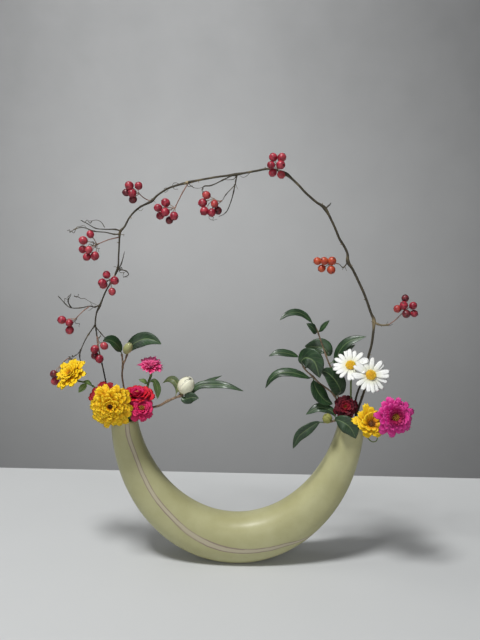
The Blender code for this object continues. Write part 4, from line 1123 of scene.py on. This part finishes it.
def floretMaterial(name, low, high, tip):
    made, graph, shader = newMaterial(name, Roughness=0.7)
    along, ring, tone = graph.value("along"), graph.value("ring"), graph.value("tone")
    colour = graph.mix(along.ramp(-0.2, 0.9), low, high)
    colour = graph.mix(along.ramp(0.75, 1.0) * (0.5 + tone * 0.5), colour, tip)
    colour = graph.mix((1 - ring.ramp(0.0, 0.35)) * 0.35, colour, low)
    grain = graph.noise(graph.place(), 1800.0)
    graph.feed(shader, {"Base Color": colour, "Normal": graph.bump(grain, 0.4, 0.0002)})
    return made


floretLooks = {  # low, high and tip colours
    "gold": ((120, 62, 18), (206, 142, 36), (240, 196, 70)),
    "brown": ((70, 34, 12), (150, 84, 22), (214, 140, 40)),
    "daisy": ((228, 168, 14), (248, 206, 28), (255, 230, 72)),
}
floretSkins = {name: floretMaterial(f"{name}Floret", *look) for name, look in floretLooks.items()}
flowers = {
    "yellow_zinnia": dict(
        slot="petal_yellow", centre=(-140, -37, 198.8), facing=(-0.02, -0.98, 0.16), depth=11,
        # its orange heart and streaks reach far out along the petals: partly the flower's own orange,
        # partly painted shade between the petals
        middle="brown", colours=[(206, 108, 2), (249, 200, 12), (255, 230, 54), (216, 152, 16)],
        material=dict(streak=(186, 86, 4), streakAmount=0.55, blush=0.74),
        petals=dict(petals=130, length=(6.5, 17.8), width=(5.0, 9.4), tilt=(0.1, 1.75), curl=(0.7, 0.3),
                    radius=(2.6, 8.5), height=(2.5, -3.5), ruffle=2.6, frill=1.8, cup=0.3, scatter=0.28,
                    teeth=0.05, base=0.4),
        florets=dict(florets=24, radius=3.2, height=1.0, rise=1.0, size=0.8)),
    "small_yellow_zinnia": dict(
        slot="petal_lemon", centre=(-188.5, -10, 226), facing=(-0.38, -0.6, 0.7), depth=9, middle="brown",
        colours=[(226, 154, 6), (249, 208, 16), (255, 230, 54), (230, 180, 26)],
        material=dict(streak=(206, 126, 8), streakAmount=0.5, blush=0.78),
        petals=dict(petals=72, length=(6.0, 17.0), width=(4.8, 8.4), tilt=(0.3, 1.5), curl=(0.5, 0.35),
                    radius=(1.6, 4.6), height=(1.5, -1.5), ruffle=2.2, frill=1.8, scatter=0.26, teeth=0.05,
                    lean=(-0.08, 0.04, 1.6)),
        florets=dict(florets=16, radius=2.0, height=1.2, rise=1.2, size=0.7)),
    "dark_red_zinnia": dict(
        slot="petal_dark_red", centre=(-152, -10, 203), facing=(-0.25, -0.6, 0.75), depth=7,
        colours=[(90, 6, 20), (150, 12, 30), (180, 26, 42), (120, 30, 40)],
        petals=dict(petals=42, length=(6.0, 13.5), width=(5.5, 9.5), tilt=(0.3, 1.4), curl=(0.4, 0.3),
                    radius=(2.0, 5.0), height=(0.5, -1.5), ruffle=1.4),
        florets=dict(florets=16, radius=2.4, height=1.5, rise=1.0, size=0.8)),
    "crimson_zinnia": dict(
        slot="petal_crimson", centre=(-114, -9, 202.5), facing=(0.02, -0.5, 0.86), depth=9,
        colours=[(150, 6, 44), (204, 12, 38), (226, 36, 54), (190, 24, 72)],
        material=dict(inner=(206, 24, 92), blush=0.7),
        petals=dict(petals=52, length=(6.0, 16.5), width=(7.0, 14.0), tilt=(0.2, 1.4), curl=(0.4, 0.35),
                    radius=(2.4, 4.5), height=(1.8, -2.0), ruffle=2.0, frill=2.0, scatter=0.24,
                    lean=(0.0, -0.1, -4.0)),
        florets=dict(florets=22, radius=2.6, height=2.4, rise=2.0, size=0.8)),
    "cerise_zinnia": dict(
        slot="petal_cerise", centre=(-108, -22, 192.5), facing=(0.25, -0.85, 0.4), depth=8,
        colours=[(160, 8, 62), (214, 26, 92), (234, 66, 122), (184, 40, 88)],
        petals=dict(petals=52, length=(4.5, 12.5), width=(5.0, 10.5), tilt=(0.25, 1.6), curl=(0.4, 0.3),
                    radius=(2.0, 3.8), height=(1.0, -1.6), ruffle=1.8, frill=2.0, scatter=0.32,
                    lean=(0.0, -0.12, 1.0)),
        florets=dict(florets=20, radius=2.2, height=2.2, rise=2.0, size=0.75)),
    "pink_zinnia": dict(
        slot="petal_pink", centre=(-101, 13, 230.5), facing=(0.02, -0.3, 0.95), depth=8,
        colours=[(220, 30, 104), (242, 50, 134), (252, 150, 194), (238, 86, 154)],
        petals=dict(petals=130, length=(4.0, 12.8), width=(3.2, 5.4), tilt=(0.1, 1.42), curl=(0.3, 0.2),
                    radius=(0.6, 3.4), height=(2.8, -0.6), ruffle=0.9, cup=0.5, base=0.5, taper=0.75,
                    scatter=0.24)),
    "maroon_zinnia": dict(
        slot="petal_maroon", centre=(120.5, -15, 196.5), facing=(-0.05, -0.85, 0.45), depth=8,
        middle="brown", colours=[(36, 4, 16), (64, 6, 22), (120, 14, 36), (64, 10, 26)],
        material=dict(inner=(150, 16, 40)),
        petals=dict(petals=60, length=(4.0, 12.0), width=(4.0, 8.4), tilt=(0.2, 1.6), curl=(0.4, 0.3),
                    radius=(1.4, 3.6), height=(1.6, -1.6), ruffle=1.6, frill=2.0, scatter=0.28,
                    lean=(0.12, -0.04)),
        florets=dict(florets=14, radius=1.6, height=1.6, rise=1.5, size=0.6)),
    "gold_zinnia": dict(
        slot="petal_gold", centre=(148, -35, 184), facing=(0.12, -0.72, 0.68), depth=8, middle="brown",
        colours=[(226, 150, 16), (246, 206, 28), (255, 224, 54), (222, 176, 40)],
        material=dict(streak=(176, 66, 14), streakAmount=0.9, blush=0.72),
        petals=dict(petals=32, length=(8.0, 15.8), width=(6.8, 11.2), tilt=(0.8, 1.52), curl=(0.3, 0.3),
                    radius=(3.2, 4.6), height=(0.6, -1.2), ruffle=1.6, frill=1.6, scatter=0.24, teeth=0.05,
                    lean=(-0.16, 0.26, -1.2)),
        florets=dict(florets=34, radius=3.4, height=2.0, rise=0.8, size=0.8)),
    "magenta_zinnia": dict(
        slot="petal_magenta", centre=(171.8, -43, 196), facing=(0.2, -0.94, 0.2), depth=9,
        colours=[(160, 12, 84), (222, 36, 142), (240, 92, 174), (186, 40, 120)],
        material=dict(inner=(160, 16, 74), streak=(150, 10, 70), streakAmount=0.5),
        petals=dict(petals=64, length=(6.0, 18.9), width=(5.0, 9.8), tilt=(0.4, 1.62), curl=(0.35, 0.2),
                    radius=(3.0, 5.0), height=(1.2, -2.0), ruffle=1.7, frill=1.8, scatter=0.18,
                    teeth=0.05),
        florets=dict(florets=34, radius=3.4, height=2.8, rise=1.0, size=0.8)),
}
wholeHeads = ("dark_red_zinnia", "cerise_zinnia", "maroon_zinnia")  # their stalks aren't nodes
daisies = {
    "left_daisy": dict(centre=(124, -15, 245), facing=(-0.15, -0.66, 0.74), radius=20.5, petals=17),
    "right_daisy": dict(centre=(145.5, -24, 237), facing=(0.1, -0.8, 0.59), radius=21.5, petals=18),
}
daisyLook = {"discShare": 0.255, "tuck": 1.2, "outerTuck": 0.4, "cupDepth": 6.4, "cupSize": 5.5}
daisyColours = [(222, 224, 200), (242, 243, 242), (248, 248, 248), (226, 228, 224)]
daisyPetals = dict(
    width=(6.2, 5.6), tilt=(1.42, 1.5), curl=(0.12, 0.2), height=(0.5, -0.2), base=0.5, peak=0.5, blunt=6.0,
    taper=0.45, round=0.15, teeth=0.025, cup=-0.12, ruffle=0.8, scatter=0.11, thickness=0.5)
daisyDisc = dict(florets=110, height=2.6, size=0.62, long=1.7, flare=0.7, rise=0.6)
cupColours = [(64, 88, 40), (96, 122, 58), (132, 146, 84), (84, 108, 52)]
cupScales = dict(
    petals=26, seed=5, width=(3.2, 4.2), tilt=(1.2, 1.35), curl=(-1.1, -0.9), radius=(0.6, 1.2), base=0.6,
    ruffle=0.1, cup=0.5, scatter=0.06, thickness=0.45)
cupShares = {"length": (0.7, 1.15), "height": (-0.7, -0.78)}  # of the cup's size and the head's depth
cupGreen = petalMaterial("cupGreen", *cupColours)


def growCup(name, pose, depth, size):  # overlapping scales below a head
    length = tuple(share * size for share in cupShares["length"])
    height = tuple(share * depth for share in cupShares["height"])
    cup = grow(f"{name}_cup", petalCrown, cupGreen, length=length, height=height, **pose, **cupScales)
    finished(cup, "stalk_green")


def buildZinnias():
    for k, (name, look) in enumerate(flowers.items()):
        pose = {"facing": look["facing"], "centre": look["centre"]}
        skin = petalMaterial(f"{name}_petal", *look["colours"], **look.get("material", {}))
        piece = grow(f"{name}_petals", petalCrown, skin, seed=11 + 7 * k, **pose, **look["petals"])
        finished(piece, look["slot"], name if name in wholeHeads else f"{name}_head")
        if "florets" in look:
            skin = floretSkins[look.get("middle", "gold")]
            finished(grow(f"{name}_florets", floretDome, skin, **pose, **look["florets"]), look["slot"])
        growCup(name, pose, look["depth"], look["petals"]["radius"][1] + 1.5)


def buildDaisies():
    white = petalMaterial("daisyPetal", *daisyColours, shine=0.55)
    tuck, outerTuck = daisyLook["tuck"], daisyLook["outerTuck"]  # petals' feet under the disc
    for k, (name, look) in enumerate(daisies.items()):
        pose = {"facing": look["facing"], "centre": look["centre"]}
        disc = look["radius"] * daisyLook["discShare"]
        length = look["radius"] - disc
        crown = grow(f"{name}_petals", petalCrown, white, seed=40 + k, petals=look["petals"],
                     turn=2 * math.pi / look["petals"], length=(length + tuck, length + outerTuck),
                     radius=(disc - tuck, disc - tuck), **pose, **daisyPetals)
        finished(crown, "daisy_white", f"{name}_head")
        dome = grow(f"{name}_disc", floretDome, floretSkins["daisy"], radius=disc, **pose, **daisyDisc)
        finished(dome, "petal_gold")
        growCup(name, pose, daisyLook["cupDepth"], daisyLook["cupSize"])


buildZinnias()
buildDaisies()
print("flowers made")


# the flowers' stalks: arm, place round it, points on the way, small leaves
stalks = {
    "yellow_zinnia": (-1, 62, [(-137, -15, 183), (-139, -20, 190)], []),
    "dark_red_zinnia": (-1, 22, [(-144, -5, 184)], []),
    "crimson_zinnia": (-1, 150, [(-117, -6, 182)], []),
    "cerise_zinnia": (-1, 115, [(-120, -13, 180)], []),
    "pink_zinnia": (-1, 222, [(-108, 12, 192), (-104, 13, 210)], [
        ([(-104.2, 13, 208.5), (-109, 12, 213), (-115, 12, 214.5)], 7, (0, -0.5, 0.9)),
        ([(-103.9, 13.1, 211), (-97, 13, 213), (-93, 12, 203), (-93, 11, 192)], 9, (0.3, -0.9, 0.3))]),
    "small_yellow_zinnia": (-1, 352, [(-150, 0, 190), (-162, 1, 206), (-172, 2, 212)], [
        ([(-172, 2, 212), (-176, -2, 209), (-181, -5, 203)], 8, (0, -0.9, 0.4)),
        ([(-166, 2, 209), (-169, -3, 214), (-175, -7, 217)], 8, (0, -0.6, 0.8))]),
    "maroon_zinnia": (1, 122, [(121, -9, 186)], []),
    "gold_zinnia": (1, 75, [(134, -15, 177)], []),
    "magenta_zinnia": (1, 20, [(147, -5, 184), (157, -13, 190)], []),
    "left_daisy": (1, 95, [(128, -7, 190), (127, -6, 213)], []),
    "right_daisy": (1, 50, [(132, -7, 195), (137, -7, 219)], []),
}
goldCurl = [(141.5, -23, 178.5), (142.5, -25.5, 172), (146, -28, 165), (150.5, -30, 161.5),
            (155, -31, 163), (156.5, -31, 169)]
strayStalk = [(125, -13, 235), (125, -14, 231), (126, -14, 216), (127, -8, 200)]
stalkLook = {  # radii, how far stalks reach into heads, tones
    "zinnia": 1.4, "slim": 0.95, "daisy": 1.1, "curl": 0.75, "curlTip": 0.7, "stray": 0.5,
    "neck": 7.0, "daisyDepth": 5.2, "depthShare": 0.78,
    "curlTone": 0.3, "strayTone": 0.6,
}


def stalkRadius(name):
    kind = "daisy" if name in daisies else "slim" if name == "small_yellow_zinnia" else "zinnia"
    return stalkLook[kind]


def buildStalks():
    look = stalkLook
    for k, (name, (side, around, via, blades)) in enumerate(stalks.items()):
        head = daisies[name] if name in daisies else flowers[name]
        depth = look["daisyDepth"] if name in daisies else head["depth"] * look["depthShare"]
        radius = stalkRadius(name)
        axis = Vector(head["facing"]).normalized()
        end = Vector(head["centre"]) - axis * depth
        route = smoothRoute(planted(side, around, radius, via) + [end - axis * look["neck"], end], 4)
        paths = [stalkPath(route, radius, radius)]
        if name == "gold_zinnia":
            curl = smoothRoute(goldCurl, 5)
            radii = tapered(curl, look["curl"], look["curl"] * look["curlTip"])
            paths.append((curl, radii, look["curlTone"]))
        if name == "left_daisy":
            stray = smoothRoute(strayStalk, 4)
            paths.append((stray, tapered(stray, look["stray"], look["stray"]), look["strayTone"]))
        blades = [growLeaf(f"{name}_small_leaf_{i}", *blade, "youngLeaf", 90 + 3 * k + i, teeth=0.0)
                  for i, blade in enumerate(blades)]
        bark = "darkStalk" if name == "right_daisy" else "softGreenStalk"
        node = name if name in wholeHeads else f"{name}_stalk"
        stalkPiece(f"{name}_stem", bark, "stalk_green", node, paths, blades)


buildStalks()
print("stalks made")


# buds: scales wrapped round an egg
buds = {
    "white_bud": dict(
        slot="bud_white", centre=(-59.5, -8.6, 215.2), facing=(0.5, -0.3, 0.81), skin="whiteBudPetal",
        shine=0.42, colours=[(206, 208, 158), (236, 234, 214), (246, 245, 236), (228, 226, 200)],
        petals=dict(petals=12, length=(27.0, 31.0), tilt=(1.3, 1.35), curl=(-2.66, -2.6),
                    height=(-9.8, -11.2), wrap=1.2, ruffle=0.25, blunt=10.0)),
    "upright_sprig_bud": dict(
        slot="bud_green", centre=(-126.2, 2.2, 253.5), facing=(0.45, -0.35, 0.82), skin="leafBudScale",
        shine=0.5, colours=[(154, 140, 94), (172, 176, 120), (196, 194, 146), (156, 158, 108)],
        petals=dict(petals=6, length=(19.0, 20.5), tilt=(0.95, 1.0), curl=(-1.95, -1.98),
                    height=(-7.0, -7.7), wrap=1.2, ruffle=0.15)),
    "green_bud": dict(
        slot="bud_green", centre=(100.5, -20.3, 184.5), facing=(-0.5, -0.2, 0.8), skin="greenBudScale",
        shine=0.5, colours=[(120, 124, 60), (158, 158, 84), (186, 180, 116), (140, 140, 76)],
        petals=dict(petals=8, length=(15.0, 16.6), tilt=(1.45, 1.5), curl=(-2.95, -2.98),
                    height=(-5.0, -5.5), wrap=1.1, ruffle=0.2)),
}
budDefaults = dict(
    width=(0.0, 0.0), radius=(0.2, 0.4), base=0.55, peak=0.5, blunt=5.0, taper=1.0, round=0.0, teeth=0.0,
    cup=0.0, groove=0.0, scatter=0.05, thickness=0.5)
whiteBudScales = dict(
    petals=7, length=(9.5, 7.0), tilt=(1.3, 1.25), curl=(-0.85, -0.8), radius=(1.0, 1.2),
    height=(-11.3, -11.6), wrap=0.85, ruffle=0.1)


def growBud(name, look, skin, seed, scales):
    return grow(name, petalCrown, skin, seed=seed, facing=look["facing"], centre=look["centre"],
                **{**budDefaults, **scales})


def buildBuds():
    skins = {name: petalMaterial(look["skin"], *look["colours"], shine=look["shine"])
             for name, look in buds.items()}
    for k, (name, look) in enumerate(buds.items()):
        finished(growBud(f"{name}_petals", look, skins[name], 60 + k, look["petals"]), look["slot"], name)
    scales = growBud("white_bud_scales", buds["white_bud"], skins["green_bud"], 70, whiteBudScales)
    finished(scales, "bud_green")


buildBuds()
print("buds made")


# floor, backdrop, lights and camera
stageLook = {
    "floor": (198, 200, 200), "wall": (172, 173, 173), "wallShade": (62, 63, 64),
    "cloth": (243.4, 243.4, 243.4),
    "edge": 0.25, "back": 1.6, "reach": 6,  # metres: table's back edge, wall, half the width
}


def plane(name, corners, material):
    mesh = bpy.data.meshes.new(name)
    mesh.from_pydata(corners, [], [tuple(range(len(corners)))])
    mesh.materials.append(material)
    made = bpy.data.objects.new(name, mesh)
    scene.collection.objects.link(made)


def stageMaterial(name, colour, shade=None):
    made, graph, shader = newMaterial(name, Roughness=0.7)
    place = graph.place()
    x, y, z = graph.split(place)
    if shade:  # a painted pool of light on the backdrop, brightest low and just left of the middle, with painted shade towards the top and sides
        across = (((x + 0.05) * 0.76) ** 2 * -1).exp()
        colour = graph.mix(across * (1 - z.ramp(-0.1, 0.8) * 0.6), shade, colour)
    colour = graph.mix(graph.noise(place, 9.0, 3.0) * 0.06, colour, stageLook["cloth"])
    grain = graph.noise(place, 400.0, 3.0)
    graph.feed(shader, {"Base Color": colour, "Normal": graph.bump(grain, 0.05, 0.001)})
    return made


def buildStage():
    look = stageLook
    edge, back, reach = look["edge"], look["back"], look["reach"]
    floor = stageMaterial("paleFloor", look["floor"])
    wall = stageMaterial("greyBackdrop", look["wall"], look["wallShade"])
    plane("floor", [(-reach, -reach, 0), (reach, -reach, 0), (reach, edge, 0), (-reach, edge, 0)], floor)
    plane("backdrop", [(-reach, back, -2), (reach, back, -2), (reach, back, 4), (-reach, back, 4)], wall)


lamps = {  # place, aim, size and watts
    "key": ((-0.62, -0.72, 2.4), (0, 0, 0.15), 0.5, 50),
    "fill": ((1.5, -1.4, 1.2), (0, 0, 0.2), 1.6, 1),
    "front": ((-0.3, -1.9, 0.8), (0, 0, 0.15), 1.0, 7),
    "top": ((-0.8, 0.1, 1.8), (0, 0, 0.1), 0.8, 3),
    "wall": ((-0.3, 0.6, 0.9), (-0.15, 1.6, 0.5), 0.8, 12),
}
skyLook = {"Color": (0.97, 0.98, 1.0, 1), "Strength": 0.13}


def buildLights():
    for name, (place, aim, size, watts) in lamps.items():
        light = bpy.data.lights.new(name, "AREA")
        light.shape = "DISK"
        light.size = size
        light.energy = watts
        lamp = bpy.data.objects.new(name, light)
        lamp.location = place
        lamp.rotation_euler = (Vector(aim) - Vector(place)).to_track_quat("-Z", "Y").to_euler()
        scene.collection.objects.link(lamp)
    world = bpy.data.worlds.new("studio")
    world.use_nodes = True
    for name, value in skyLook.items():
        world.node_tree.nodes["Background"].inputs[name].default_value = value
    scene.world = world
    scene.view_settings.view_transform = "Standard"


cameraLook = {"place": (0.0, -0.964, 0.522), "down": 13.5, "roll": 1.3, "lens": 50.0, "sensor": 36.0}


def buildCamera():
    look = cameraLook
    down, roll = math.radians(look["down"]), math.radians(look["roll"])
    ahead = Vector((0, math.cos(down), -math.sin(down)))
    right, up = Vector((1, 0, 0)), Vector((0, math.sin(down), math.cos(down)))
    columns = [right * math.cos(roll) + up * math.sin(roll),
               up * math.cos(roll) - right * math.sin(roll), -ahead]
    data = bpy.data.cameras.new("camera")
    data.lens = look["lens"]
    data.sensor_width = look["sensor"]
    camera = bpy.data.objects.new("camera", data)
    camera.matrix_world = Matrix.Translation(look["place"]) @ Matrix(columns).transposed().to_4x4()
    scene.collection.objects.link(camera)
    scene.camera = camera


buildStage()
buildLights()
buildCamera()
print("stage, lights and camera made")
